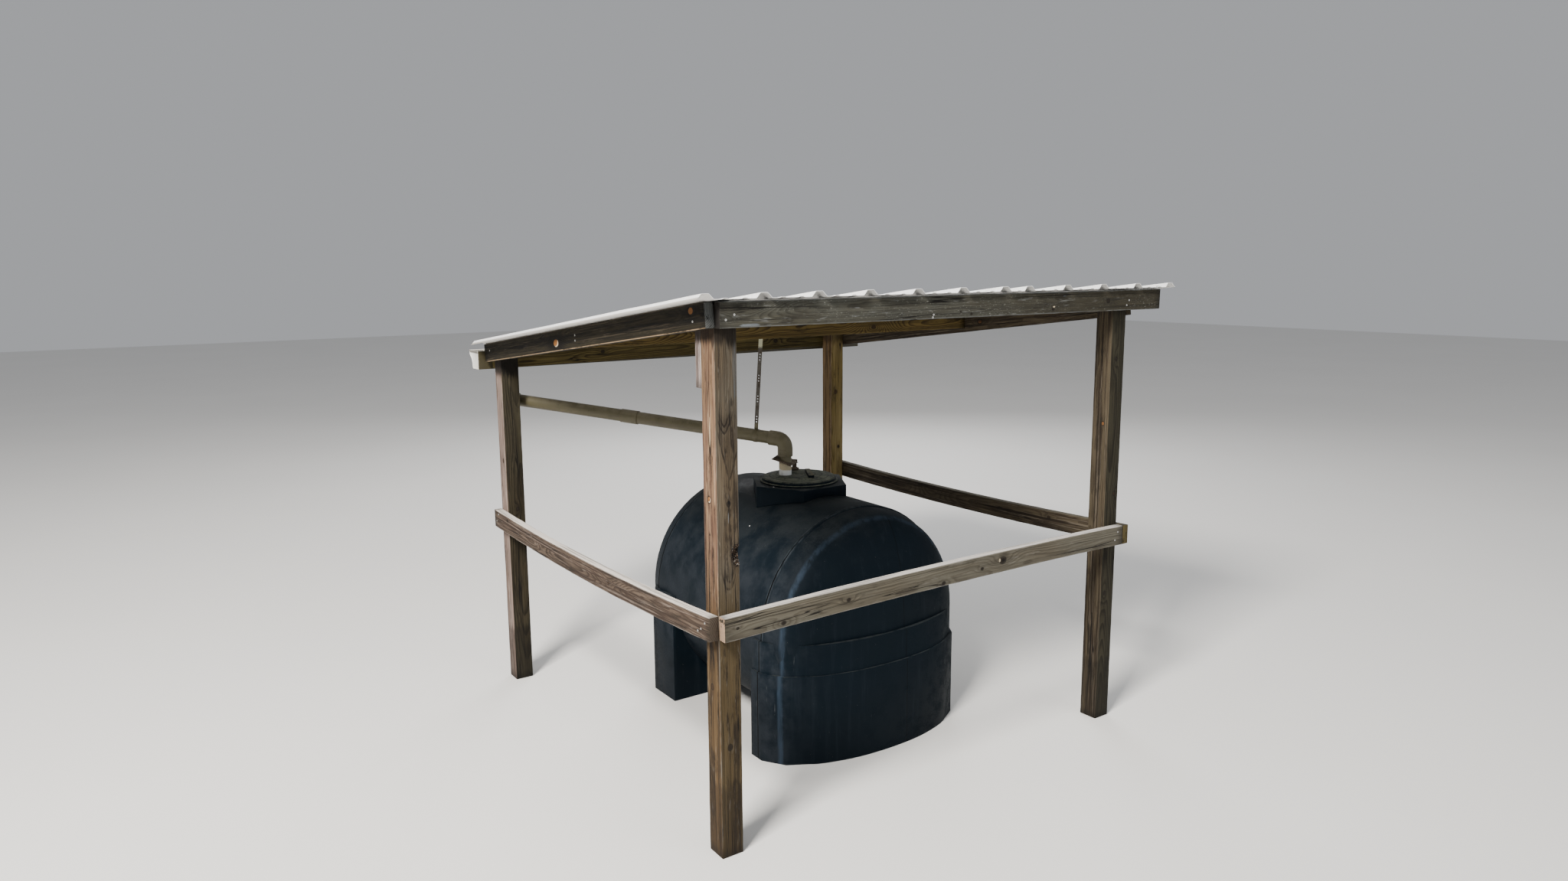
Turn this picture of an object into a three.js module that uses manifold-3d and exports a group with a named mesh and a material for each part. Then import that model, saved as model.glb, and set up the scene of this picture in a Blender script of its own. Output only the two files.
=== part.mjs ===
// Rainwater catchment shelter: a timber frame with a pitched ribbed roof, a gutter and a drain
// pipe that fills a horizontal leg tank. Millimetres, +Z up, the high side faces -Y.
import * as THREE from 'three';
import * as BufferGeometryUtils from 'three/addons/utils/BufferGeometryUtils.js';
import Module from 'manifold-3d';

const wasm = await Module();
wasm.setup();

// Driving dimensions
const SEAT = 0.3;                 // gap between pieces that touch
const FOOTPRINT_X = 2134;         // outside to outside of the posts, 7 ft
const FOOTPRINT_Y = 2134;
const POST = 89;                  // 4x4 post
const BOARD_THICK = 38;           // 2x4 board
const BOARD_WIDE = 89;
const ROOF_HIGH = 1997;           // roof underside above the posts' front faces
const ROOF_FALL = 0.1219;         // fall for each mm towards the back
const ROOF_FRONT = -55;
const ROOF_BACK = 2190;
const SHEET_THICK = 1;
const RIB_HEIGHT = 19;
const RIB_PITCH = 229;
const RIB_FOOT = 32;
const RIB_CROWN = 14;
const MINOR = { foot: 12, crown: 7, height: 3 };    // two small ribs between the wide ones
const HEADER_LENGTH = 2320;
const RAIL = { frontLeft: 916, frontRight: 929, backLeft: 895, backRight: 912 };
const SAG = { left: 26, right: 20, front: -11 };    // how far each rail has bowed at its middle
const GUTTER = { left: -68, right: 2350, bottom: 1607, height: 92, wide: 127, thick: 1.5 };
const PIPE_R = 30.15;             // 2 in drain pipe, 60.3 mm outside
const PIPE_BORE = 26.2;
const TUBE_SIDES = 24;
const SOCKET_R = 36;
const SOCKET_BORE = 30.8;
const ELBOW_HIGH = new THREE.Vector3(72, 2214, 1450);
const ELBOW_LOW = new THREE.Vector3(1021, 1063, 1291);
const TANK = { x: 1077, y: 1045, z: 530, r: 520, wall: 8, half: 692 };
const BARREL_HALF = 462;          // from the tank's middle to the seam of each end
const DOME = { power: 2.66, root: 0.625, crease: 0.33, rows: 14, innerRows: 9 };
const LEG = { over: 12, front: 706, step: 395, stepOut: 9, shoulder: 479, cornerIn: 61, cornerOut: 575 };
const LEG_CURVE = [[413, 613], [334, 655], [180, 694]];    // from the corner towards the middle
const MANWAY = { x: 1077, y: 1029, r: 160 };
const COLLAR = { r: 245, top: 1092, depth: 120 };
const LID = { r: 178, flange: 187, top: 1115, crown: 1123, wall: 7 };

const slope = Math.atan(ROOF_FALL);
const roofUnder = (y) => ROOF_HIGH - y * ROOF_FALL;

const finish = (color, roughness, metalness = 0) =>
  new THREE.MeshStandardMaterial({ color, roughness, metalness });
const greyTimber = finish(0x6b6152, 0.9);
const brownTimber = finish(0x6a4a2c, 0.9);
const roofSteel = finish(0xdfe2e0, 0.4, 0.7);
const gutterWhite = finish(0xe9e7e1, 0.4);
const pipePlastic = finish(0x8a7a62, 0.6);
const strapSteel = finish(0x7d7768, 0.5, 0.8);
const tankBlack = finish(0x1c2128, 0.6);
const rubberSheet = finish(0x2b2622, 0.8);

const shelter = new THREE.Group();

function place(name, geometry, material, parent = shelter) {
  const mesh = new THREE.Mesh(geometry, material);
  mesh.name = name;
  parent.add(mesh);
  return mesh;
}

// A board whose top edge's middle runs from one point to another, bowed down by its sag
function board(name, from, to, material, sag = 0) {
  const along = to.clone().sub(from);
  const length = along.length();
  along.normalize();
  const side = new THREE.Vector3(0, 0, 1).cross(along).normalize();
  const up = along.clone().cross(side);
  const geometry = new THREE.BoxGeometry(length, BOARD_THICK, BOARD_WIDE, sag ? 16 : 1);
  const spots = geometry.attributes.position;
  for (let i = 0; i < spots.count; i += 1) {
    const share = (2 * spots.getX(i)) / length;
    spots.setZ(i, spots.getZ(i) - sag * (1 - share ** 2));
  }
  const mesh = place(name, geometry, material);
  mesh.quaternion.setFromRotationMatrix(new THREE.Matrix4().makeBasis(along, side, up));
  mesh.position.copy(from).add(to).multiplyScalar(0.5).addScaledVector(up, -BOARD_WIDE / 2);
}

// Booleans
function solid(geometry) {
  const bare = geometry.clone();
  bare.deleteAttribute('normal');
  bare.deleteAttribute('uv');
  const merged = BufferGeometryUtils.mergeVertices(bare.index ? bare.toNonIndexed() : bare, 1e-4);
  return new wasm.Manifold(new wasm.Mesh({
    numProp: 3,
    vertProperties: new Float32Array(merged.attributes.position.array),
    triVerts: new Uint32Array(merged.index.array),
  }));
}

function geometryOf(manifold) {
  const mesh = manifold.getMesh();
  const geometry = new THREE.BufferGeometry();
  geometry.setAttribute('position', new THREE.BufferAttribute(mesh.vertProperties, 3));
  geometry.setIndex(new THREE.BufferAttribute(mesh.triVerts, 1));
  return geometry;
}

// The outline of a thin strip: a line of points and the same line moved to its left
function ribbon(points, thick) {
  const moved = points.map(([x, y], i) => {
    const before = points[Math.max(i - 1, 0)];
    const after = points[Math.min(i + 1, points.length - 1)];
    const a = new THREE.Vector2(x - before[0], y - before[1]).normalize();
    const b = new THREE.Vector2(after[0] - x, after[1] - y).normalize();
    const mean = a.clone().add(b).normalize();
    const end = i === 0 || i === points.length - 1;
    const stretch = end ? 1 : 1 / Math.max(mean.dot(a), 0.4);
    return new THREE.Vector2(x - mean.y * thick * stretch, y + mean.x * thick * stretch);
  });
  return new THREE.Shape([...points.map(([x, y]) => new THREE.Vector2(x, y)), ...moved.reverse()]);
}

const extrude = (shape, depth) => new THREE.ExtrudeGeometry(shape, { depth, bevelEnabled: false });

// A shape drawn in Y and Z, run along X
function alongX(shape, x0, x1) {
  const axes = new THREE.Matrix4().makeBasis(
    new THREE.Vector3(0, 1, 0), new THREE.Vector3(0, 0, 1), new THREE.Vector3(1, 0, 0));
  return extrude(shape, x1 - x0).applyMatrix4(axes).translate(x0, 0, 0);
}

// A shape drawn in X and Z, run along Y
const alongY = (shape, y0, y1) =>
  extrude(shape, y1 - y0).rotateX(Math.PI / 2).translate(0, y1, 0);

function ringShape(outer, inner) {
  const shape = new THREE.Shape();
  const hole = new THREE.Path();
  for (const [path, r] of [[shape, outer], [hole, inner]]) {
    for (let i = 0; i < TUBE_SIDES; i += 1) {
      const angle = (2 * Math.PI * i) / TUBE_SIDES;
      const step = i === 0 ? 'moveTo' : 'lineTo';
      path[step](r * Math.cos(angle), r * Math.sin(angle));
    }
    path.closePath();
  }
  shape.holes.push(hole);
  return shape;
}

// A straight tube between two points
function tube(name, from, to, outer = PIPE_R, inner = PIPE_BORE) {
  const along = to.clone().sub(from);
  const mesh = place(name, extrude(ringShape(outer, inner), along.length()), pipePlastic);
  mesh.quaternion.setFromUnitVectors(new THREE.Vector3(0, 0, 1), along.normalize());
  mesh.position.copy(from);
}

// An elbow: a straight socket, a round bend about the corner and a second socket
function elbow(name, corner, towardsA, towardsB, reach, bend) {
  const a = corner.clone().addScaledVector(towardsA, reach);
  const b = corner.clone().addScaledVector(towardsB, reach);
  const a1 = corner.clone().addScaledVector(towardsA, bend);
  const b1 = corner.clone().addScaledVector(towardsB, bend);
  const path = new THREE.CurvePath();
  path.add(new THREE.LineCurve3(a, a1));
  path.add(new THREE.QuadraticBezierCurve3(a1, corner, b1));
  path.add(new THREE.LineCurve3(b1, b));
  const geometry = new THREE.ExtrudeGeometry(ringShape(SOCKET_R, SOCKET_BORE), {
    steps: 18, extrudePath: path, bevelEnabled: false,
  });
  place(name, geometry, pipePlastic);
}

// Posts
const postTop = { front: roofUnder(POST) - 2 * SEAT, back: roofUnder(FOOTPRINT_Y) - 2 * SEAT };
const posts = [
  ['post_front_left', 0, 0, postTop.front, brownTimber],
  ['post_front_right', FOOTPRINT_X - POST, 0, postTop.front, greyTimber],
  ['post_back_left', 0, FOOTPRINT_Y - POST, postTop.back, brownTimber],
  ['post_back_right', FOOTPRINT_X - POST, FOOTPRINT_Y - POST, postTop.back, brownTimber],
];
for (const [name, x, y, height, material] of posts) {
  place(name, new THREE.BoxGeometry(POST, POST, height), material)
    .position.set(x + POST / 2, y + POST / 2, height / 2);
}

// Short block nailed behind the front left post, up to the roof
const CLEAT = { bottom: 1699, top: roofUnder(POST + BOARD_THICK + 2 * SEAT) - 2 * SEAT };
place('post_block', new THREE.BoxGeometry(POST, BOARD_THICK, CLEAT.top - CLEAT.bottom), greyTimber)
  .position.set(POST / 2, POST + SEAT + BOARD_THICK / 2, (CLEAT.top + CLEAT.bottom) / 2);

// Boards that carry the roof
const halfBoard = BOARD_THICK / 2 + SEAT;
const point = (x, y, z) => new THREE.Vector3(x, y, z);
const headerTop = roofUnder(0) - 2 * SEAT;
board('front_header', point(0, -halfBoard, headerTop), point(HEADER_LENGTH, -halfBoard, headerTop),
  greyTimber);
const backHeaderY = FOOTPRINT_Y + halfBoard;
const backHeaderTop = { left: 1700, right: 1716 };
board('back_header', point(0, backHeaderY, backHeaderTop.left),
  point(HEADER_LENGTH, backHeaderY, backHeaderTop.right), brownTimber);

const purlinY = 1008;
const purlinTop = roofUnder(purlinY + BOARD_THICK) - 2 * SEAT;
board('mid_purlin', point(SEAT, purlinY + BOARD_THICK / 2, purlinTop),
  point(FOOTPRINT_X - SEAT, purlinY + BOARD_THICK / 2, purlinTop), brownTimber);

const leftRakeEnd = 2168;
board('left_rake', point(-halfBoard, 0, roofUnder(0) - 2 * SEAT),
  point(-halfBoard, leftRakeEnd, roofUnder(leftRakeEnd) - 2 * SEAT), greyTimber);
const rightRakeX = FOOTPRINT_X + halfBoard;
const rightRakeDrop = 25;
board('right_rake', point(rightRakeX, BOARD_WIDE * ROOF_FALL, roofUnder(0) - rightRakeDrop),
  point(rightRakeX, FOOTPRINT_Y - SEAT, roofUnder(FOOTPRINT_Y) - rightRakeDrop), brownTimber);

// Rails round the tank
const leftRailEnd = 2142;
board('left_rail', point(-halfBoard, 0, RAIL.frontLeft),
  point(-halfBoard, leftRailEnd, RAIL.backLeft), greyTimber, SAG.left);
board('front_rail', point(0, -halfBoard, RAIL.frontLeft),
  point(FOOTPRINT_X - 1, -halfBoard, RAIL.frontRight), greyTimber, SAG.front);
board('right_rail', point(rightRakeX, -BOARD_THICK, RAIL.frontRight),
  point(rightRakeX, FOOTPRINT_Y, RAIL.backRight), brownTimber, SAG.right);

// Roof sheets, each from one seam to the next, lying on the slope
const roof = new THREE.Group();
roof.rotation.x = -slope;
roof.position.set(0, ROOF_FRONT, roofUnder(ROOF_FRONT));
shelter.add(roof);
const roofLength = (ROOF_BACK - ROOF_FRONT) / Math.cos(slope);

function sheetShape(firstRib, ribs, leftEdge, rightEdge) {
  const points = [[leftEdge, 0]];
  for (let i = 0; i < ribs; i += 1) {
    const x = firstRib + i * RIB_PITCH;
    points.push([x - RIB_FOOT, 0], [x - RIB_CROWN, RIB_HEIGHT], [x + RIB_CROWN, RIB_HEIGHT],
      [x + RIB_FOOT, 0]);
    for (const third of [1, 2]) {
      const m = x + (third * RIB_PITCH) / 3;
      if (m + MINOR.foot < rightEdge) {
        points.push([m - MINOR.foot, 0], [m - MINOR.crown, MINOR.height],
          [m + MINOR.crown, MINOR.height], [m + MINOR.foot, 0]);
      }
    }
  }
  points.push([rightEdge, 0]);
  return ribbon(points, SHEET_THICK);
}

const sheets = [
  ['roof_sheet_left', -62, 4],
  ['roof_sheet_middle', -62 + 4 * RIB_PITCH, 3],
  ['roof_sheet_right', 1450, 5],
];
const seam = 4;
sheets.forEach(([name, firstRib, ribs], i) => {
  const left = firstRib - RIB_FOOT - seam;
  const next = sheets[i + 1];
  const lastRib = firstRib + (ribs - 1) * RIB_PITCH;
  const right = next ? next[1] - RIB_FOOT - seam - SEAT : lastRib + RIB_FOOT + seam;
  place(name, alongY(sheetShape(firstRib, ribs, left, right), 0, roofLength), roofSteel, roof);
});

// Gutter on the low side
const gutterBack = FOOTPRINT_Y + BOARD_THICK + 3 * SEAT;
const gutterProfile = [[0, 92], [0, 0], [82, 0], [86, 10], [88, 32], [98, 50], [114, 62], [123, 72],
  [GUTTER.wide, 84], [GUTTER.wide, 92], [114, 92]]
  .map(([y, z]) => [gutterBack + y, GUTTER.bottom + z]);
const OUTLET = { bore: 23.5, r: 25.4, flangeR: 40, flange: 4, depth: 45 };
const outletCut = new THREE.CylinderGeometry(OUTLET.r + 0.2, OUTLET.r + 0.2, 20, TUBE_SIDES)
  .rotateX(Math.PI / 2)
  .translate(ELBOW_HIGH.x, ELBOW_HIGH.y, GUTTER.bottom);
const trough = solid(alongX(ribbon(gutterProfile, GUTTER.thick), GUTTER.left, GUTTER.right))
  .subtract(solid(outletCut));
place('gutter_trough', geometryOf(trough), gutterWhite);
const capShape = new THREE.Shape(gutterProfile.map(([y, z]) => new THREE.Vector2(y, z)));
place('gutter_cap_left', alongX(capShape, GUTTER.left - SEAT - 2, GUTTER.left - SEAT), gutterWhite);
place('gutter_cap_right', alongX(capShape, GUTTER.right + SEAT, GUTTER.right + SEAT + 2), gutterWhite);

// Hangers across the mouth of the gutter, hooked under its front lip
const hangerFirst = 200;
const hangerStep = 560;
const hangerTop = GUTTER.bottom + GUTTER.height - 3;
for (let i = 0; i < 4; i += 1) {
  const hanger = new THREE.BoxGeometry(24, GUTTER.wide - 2 * (GUTTER.thick + SEAT), 2);
  place(`gutter_hanger_${i + 1}`, hanger, gutterWhite).position.set(
    hangerFirst + i * hangerStep, gutterBack + GUTTER.wide / 2, hangerTop - GUTTER.thick);
}

// Outlet under the gutter: a flange and a spigot inside the drop pipe
const outlet = [[OUTLET.bore, -OUTLET.depth], [OUTLET.r, -OUTLET.depth], [OUTLET.r, -OUTLET.flange],
  [OUTLET.flangeR, -OUTLET.flange], [OUTLET.flangeR, -SEAT], [OUTLET.bore, -SEAT],
  [OUTLET.bore, -OUTLET.depth]].map(([r, z]) => new THREE.Vector2(r, z));
place('gutter_outlet', new THREE.LatheGeometry(outlet, TUBE_SIDES).rotateX(Math.PI / 2), gutterWhite)
  .position.set(ELBOW_HIGH.x, ELBOW_HIGH.y, GUTTER.bottom);

// Drain pipe from the outlet to the tank
const down = point(0, 0, -1);
const run = ELBOW_LOW.clone().sub(ELBOW_HIGH).normalize();
const runBack = run.clone().negate();
const runLength = ELBOW_LOW.distanceTo(ELBOW_HIGH);
const reach = 78;
const bend = 44;
const inset = 46;
const onRun = (distance) => ELBOW_HIGH.clone().addScaledVector(run, distance);
tube('drop_pipe', ELBOW_HIGH.clone().setZ(GUTTER.bottom - OUTLET.flange - SEAT),
  ELBOW_HIGH.clone().addScaledVector(down, -inset));
elbow('drop_elbow', ELBOW_HIGH, point(0, 0, 1), run, reach, bend);
const bellStart = 0.435 * runLength;
const bellLength = 90;
const bellR = 33.6;
tube('run_pipe_upper', onRun(inset), onRun(bellStart + bellLength / 2 - SEAT));
tube('pipe_bell', onRun(bellStart), onRun(bellStart + bellLength), bellR, SOCKET_BORE);
tube('run_pipe_lower', onRun(bellStart + bellLength / 2 + SEAT), onRun(runLength - inset));
elbow('inlet_elbow', ELBOW_LOW, runBack, down, reach, bend);
tube('inlet_pipe', ELBOW_LOW.clone().addScaledVector(down, inset),
  ELBOW_LOW.clone().setZ(LID.top - 60));

// Dark sheet threaded on the inlet pipe
const SHIELD = { half: 56, thick: 3, hole: 31.8, height: 1193, tilt: 0.2, turn: 0.35 };
const shieldShape = new THREE.Shape([[-1, -1], [1, -1], [1, 1], [-1, 1]]
  .map(([x, y]) => new THREE.Vector2(x * SHIELD.half, y * SHIELD.half)));
shieldShape.holes.push(new THREE.Path().absarc(0, 0, SHIELD.hole, 0, 2 * Math.PI));
const shield = place('pipe_shield', new THREE.ExtrudeGeometry(shieldShape,
  { depth: SHIELD.thick, bevelEnabled: false, curveSegments: 32 })
  .translate(0, 0, -SHIELD.thick / 2), rubberSheet);
shield.position.set(ELBOW_LOW.x + 0.4, ELBOW_LOW.y, SHIELD.height);
shield.rotation.set(0, SHIELD.tilt, SHIELD.turn);

// Strap that hangs the pipe from the purlin
const strapAt = onRun(runLength - 145);
const strapTop = point(880, purlinY + BOARD_THICK + 8.5, purlinTop - 40);
const strapWide = 19;
const strapThick = 1.2;
const loopR = PIPE_R + SEAT + 0.4;
const loop = extrude(ringShape(loopR + strapThick, loopR), strapWide)
  .translate(0, 0, -strapWide / 2);
loop.applyQuaternion(new THREE.Quaternion().setFromUnitVectors(point(0, 0, 1), run));
loop.translate(strapAt.x, strapAt.y, strapAt.z);
const strapFoot = strapAt.clone().add(point(0, 0, PIPE_R + 1));
const strapUp = strapTop.clone().sub(strapFoot);
const strapLength = strapUp.length();
strapUp.normalize();
const strapFace = run.clone().cross(strapUp).normalize();
const strapSide = strapUp.clone().cross(strapFace);
const strip = new THREE.BoxGeometry(strapThick, strapWide, strapLength)
  .applyMatrix4(new THREE.Matrix4().makeBasis(strapFace, strapSide, strapUp));
const stripMiddle = strapFoot.clone().addScaledVector(strapUp, strapLength / 2);
strip.translate(stripMiddle.x, stripMiddle.y, stripMiddle.z);
place('hanger_strap', geometryOf(solid(loop).add(solid(strip))), strapSteel);

// Tank shells. Profiles are radius and distance along Y from the tank's middle
const TANK_SIDES = 64;
const seamGap = 0.5;
const seamLip = 6;
const seamGroove = 7;
const about = (geometry) => geometry.translate(TANK.x, TANK.y, TANK.z);

// The outside of one end from its tip to the seam, drawn in by some depth: a dome, a crease and
// a short straight part
function endProfile(depth, rows) {
  const start = BARREL_HALF + 2 * seamLip;
  const rim = TANK.r - seamGroove - depth;
  const tip = TANK.half - depth;
  const points = [];
  for (let i = 0; i <= rows; i += 1) {
    const turn = THREE.MathUtils.lerp(Math.PI / 2, Math.asin(DOME.crease), i / rows);
    const share = Math.sin(turn);
    points.push([rim * (1 - share ** DOME.power) ** DOME.root, start + share * (tip - start)]);
  }
  points.push([rim, start], [TANK.r - depth, BARREL_HALF + seamLip],
    [TANK.r - depth, BARREL_HALF + seamGap]);
  return points.map(([r, y]) => new THREE.Vector2(r, y));
}

const manwayCore = new THREE.CylinderGeometry(MANWAY.r, MANWAY.r, 300, 48).rotateX(Math.PI / 2)
  .translate(MANWAY.x, MANWAY.y, TANK.z + TANK.r);
const barrelProfile = [[TANK.r, -BARREL_HALF], [TANK.r, BARREL_HALF],
  [TANK.r - TANK.wall, BARREL_HALF], [TANK.r - TANK.wall, -BARREL_HALF], [TANK.r, -BARREL_HALF]]
  .map(([r, y]) => new THREE.Vector2(r, y));
const barrel = solid(about(new THREE.LatheGeometry(barrelProfile, TANK_SIDES)))
  .subtract(solid(manwayCore));
place('tank_barrel', geometryOf(barrel), tankBlack);

const shellProfile = [...endProfile(TANK.wall, DOME.innerRows), ...endProfile(0, DOME.rows).reverse()];
for (const [name, turn] of [['tank_front_end', Math.PI], ['tank_back_end', 0]]) {
  const shell = new THREE.LatheGeometry(shellProfile, TANK_SIDES).rotateZ(turn);
  place(name, about(shell), tankBlack);
}

// Moulded legs: each a block whose outline follows its end of the tank, wider below a step,
// with the tank's own shape taken out of its top
const outside = endProfile(-0.5, DOME.rows);
const tankSolid = solid(about(new THREE.LatheGeometry([
  ...outside.map((p) => new THREE.Vector2(p.x, -p.y)), ...outside.reverse()], TANK_SIDES)));

function legOutline(innerFace, grow) {
  const half = TANK.r + LEG.over + grow;
  const corner = half - LEG.cornerIn;
  const mirrored = LEG_CURVE.map(([x, y]) => [-x, y]).reverse();
  const shape = new THREE.Shape();
  shape.moveTo(half, innerFace);
  shape.lineTo(half, LEG.shoulder + grow);
  shape.lineTo(corner, LEG.cornerOut + grow);
  shape.splineThru([...LEG_CURVE, [0, LEG.front], ...mirrored]
    .map(([x, y]) => new THREE.Vector2(x, y + grow)));
  shape.lineTo(-corner, LEG.cornerOut + grow);
  shape.lineTo(-half, LEG.shoulder + grow);
  shape.lineTo(-half, innerFace);
  return shape;
}

function leg(name, turn, innerFace) {
  const block = (height, grow) => solid(new THREE.ExtrudeGeometry(legOutline(innerFace, grow),
    { depth: height, bevelEnabled: false, curveSegments: 4 })
    .rotateZ(turn).translate(TANK.x, TANK.y, 0));
  const whole = block(TANK.z, 0).add(block(LEG.step, LEG.stepOut));
  place(name, geometryOf(whole.subtract(tankSolid)), tankBlack);
}
leg('tank_front_leg', Math.PI, 409);
leg('tank_back_leg', 0, 283);

// Six-sided collar round the manway
const hexagon = new THREE.Shape();
for (let i = 0; i < 6; i += 1) {
  const angle = (Math.PI * i) / 3;
  hexagon[i === 0 ? 'moveTo' : 'lineTo'](COLLAR.r * Math.cos(angle), COLLAR.r * Math.sin(angle));
}
hexagon.closePath();
const collarBlock = extrude(hexagon, COLLAR.depth)
  .translate(MANWAY.x, MANWAY.y, COLLAR.top - COLLAR.depth);
place('manway_collar', geometryOf(solid(collarBlock).subtract(tankSolid).subtract(solid(manwayCore))),
  tankBlack);

// Lid: a flange on the collar, a step and a low crown, with a hole for the inlet pipe
const lidInside = LID.r - LID.wall;
const lidProfile = [[0, LID.crown - LID.wall], [120, LID.crown - LID.wall], [150, LID.top - LID.wall],
  [lidInside, LID.top - LID.wall], [lidInside, COLLAR.top + SEAT], [LID.flange, COLLAR.top + SEAT],
  [LID.flange, COLLAR.top + 7], [LID.r, COLLAR.top + 9], [LID.r, LID.top - 4], [LID.r - 6, LID.top],
  [150, LID.top], [120, LID.crown], [0, LID.crown]]
  .map(([r, z]) => new THREE.Vector2(r, z));
const lidBlank = new THREE.LatheGeometry(lidProfile, 48).rotateX(Math.PI / 2)
  .translate(MANWAY.x, MANWAY.y, 0);
const inletHole = new THREE.CylinderGeometry(30.9, 30.9, 200, 32).rotateX(Math.PI / 2)
  .translate(ELBOW_LOW.x, ELBOW_LOW.y, LID.top);
place('tank_lid', geometryOf(solid(lidBlank).subtract(solid(inletHole))), tankBlack);

// A raised grip across the lid and a short capped vent beside the pipe
const grip = place('lid_grip', new THREE.BoxGeometry(26, 170, 13), tankBlack);
grip.rotation.z = -0.51;
grip.position.set(MANWAY.x + 34, MANWAY.y - 38, LID.crown + 6.5 + SEAT);
const vent = [[0, 0], [22, 0], [22, 9], [11, 14], [11, 38], [15, 40], [15, 50], [0, 52]]
  .map(([r, z]) => new THREE.Vector2(r, z));
place('lid_vent', new THREE.LatheGeometry(vent, 20).rotateX(Math.PI / 2), rubberSheet)
  .position.set(MANWAY.x + 46, MANWAY.y + 102, LID.crown + SEAT);

// The origin is the middle of the whole object's footprint, at the ground
const bounds = new THREE.Box3().setFromObject(shelter);
shelter.position.set(-(bounds.min.x + bounds.max.x) / 2, -(bounds.min.y + bounds.max.y) / 2, 0);

const object = new THREE.Group();
object.add(shelter);
export default object;
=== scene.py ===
# Rainwater catchment shelter: timber frame, ribbed roof, gutter, drain pipe and a leg tank
import math
import random

import bpy
from mathutils import Matrix, Vector


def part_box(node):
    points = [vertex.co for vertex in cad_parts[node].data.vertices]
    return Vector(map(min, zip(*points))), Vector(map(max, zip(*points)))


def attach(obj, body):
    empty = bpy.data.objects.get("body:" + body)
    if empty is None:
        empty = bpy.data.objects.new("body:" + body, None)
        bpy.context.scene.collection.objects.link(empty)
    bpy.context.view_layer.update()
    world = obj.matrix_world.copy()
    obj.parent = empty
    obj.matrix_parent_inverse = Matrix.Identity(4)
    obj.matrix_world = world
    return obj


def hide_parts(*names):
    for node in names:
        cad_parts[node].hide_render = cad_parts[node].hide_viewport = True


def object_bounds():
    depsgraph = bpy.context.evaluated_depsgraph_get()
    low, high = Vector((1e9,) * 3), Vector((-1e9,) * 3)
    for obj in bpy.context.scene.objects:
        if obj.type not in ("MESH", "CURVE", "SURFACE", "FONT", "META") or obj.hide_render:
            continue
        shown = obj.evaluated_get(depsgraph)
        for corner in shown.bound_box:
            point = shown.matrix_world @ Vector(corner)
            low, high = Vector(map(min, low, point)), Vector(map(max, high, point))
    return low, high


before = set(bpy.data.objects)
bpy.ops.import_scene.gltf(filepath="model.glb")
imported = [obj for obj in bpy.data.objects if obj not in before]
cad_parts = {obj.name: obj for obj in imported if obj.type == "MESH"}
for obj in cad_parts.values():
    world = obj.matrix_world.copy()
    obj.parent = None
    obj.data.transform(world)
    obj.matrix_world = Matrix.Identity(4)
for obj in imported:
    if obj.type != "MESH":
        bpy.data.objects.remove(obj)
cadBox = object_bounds()
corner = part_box("post_front_left")[0]    # the shelter is measured in millimetres from this foot


def atShelter(x, y, z):
    return corner + Vector((x, y, z)) / 1000


roofFall = 0.1219                        # fall for each metre towards the back
roofLean = math.atan(roofFall)


def roofUnder(y):
    return 1997 - roofFall * y


# camera, light and floor
view = {"spot": (-2.938, -4.10945, 2.1117), "yaw": 0.605, "pitch": -0.1658, "roll": -0.0064,
        "focal": 1368, "photoWidth": 2048, "sensor": 36}


def placeCamera():
    ahead = Vector((math.sin(view["yaw"]) * math.cos(view["pitch"]),
                    math.cos(view["yaw"]) * math.cos(view["pitch"]), math.sin(view["pitch"])))
    level = Vector((math.cos(view["yaw"]), -math.sin(view["yaw"]), 0))
    above = level.cross(ahead)
    right = level * math.cos(view["roll"]) + above * math.sin(view["roll"])
    up = above * math.cos(view["roll"]) - level * math.sin(view["roll"])
    lens = bpy.data.cameras.new("camera")
    lens.sensor_width = view["sensor"]
    lens.lens = view["sensor"] * view["focal"] / view["photoWidth"]
    lens.sensor_fit = "HORIZONTAL"
    lens.clip_end = 200
    camera = bpy.data.objects.new("camera", lens)
    bpy.context.scene.collection.objects.link(camera)
    turn = Matrix((right, up, -ahead)).transposed().to_4x4()
    camera.matrix_world = Matrix.Translation(view["spot"]) @ turn
    bpy.context.scene.camera = camera


lamps = [
    {"name": "key", "spot": (-6.2, -3.4, 7.4), "size": 2.2, "watts": 2100, "tint": (1, 0.96, 0.9)},
    {"name": "fill", "spot": (2.5, -8.5, 4.5), "size": 5.0, "watts": 150, "tint": (0.9, 0.95, 1)},
    {"name": "rim", "spot": (4.5, 6.0, 5.0), "size": 4.0, "watts": 320, "tint": (1, 1, 1)},
]
lampAim = (0, 0, 0.9)
sky = {"tint": (0.94, 0.96, 1), "strength": 0.42}


def placeLamps():
    for lamp in lamps:
        light = bpy.data.lights.new(lamp["name"], "AREA")
        light.energy = lamp["watts"]
        light.size = lamp["size"]
        light.color = lamp["tint"]
        made = bpy.data.objects.new(lamp["name"], light)
        made.location = lamp["spot"]
        aim = Vector(lampAim) - Vector(lamp["spot"])
        made.rotation_euler = aim.to_track_quat("-Z", "Y").to_euler()
        bpy.context.scene.collection.objects.link(made)
    world = bpy.data.worlds.new("studio")
    bpy.context.scene.world = world
    world.use_nodes = True
    backdrop = world.node_tree.nodes["Background"]
    backdrop.inputs["Color"].default_value = (*sky["tint"], 1)
    backdrop.inputs["Strength"].default_value = sky["strength"]


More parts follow.
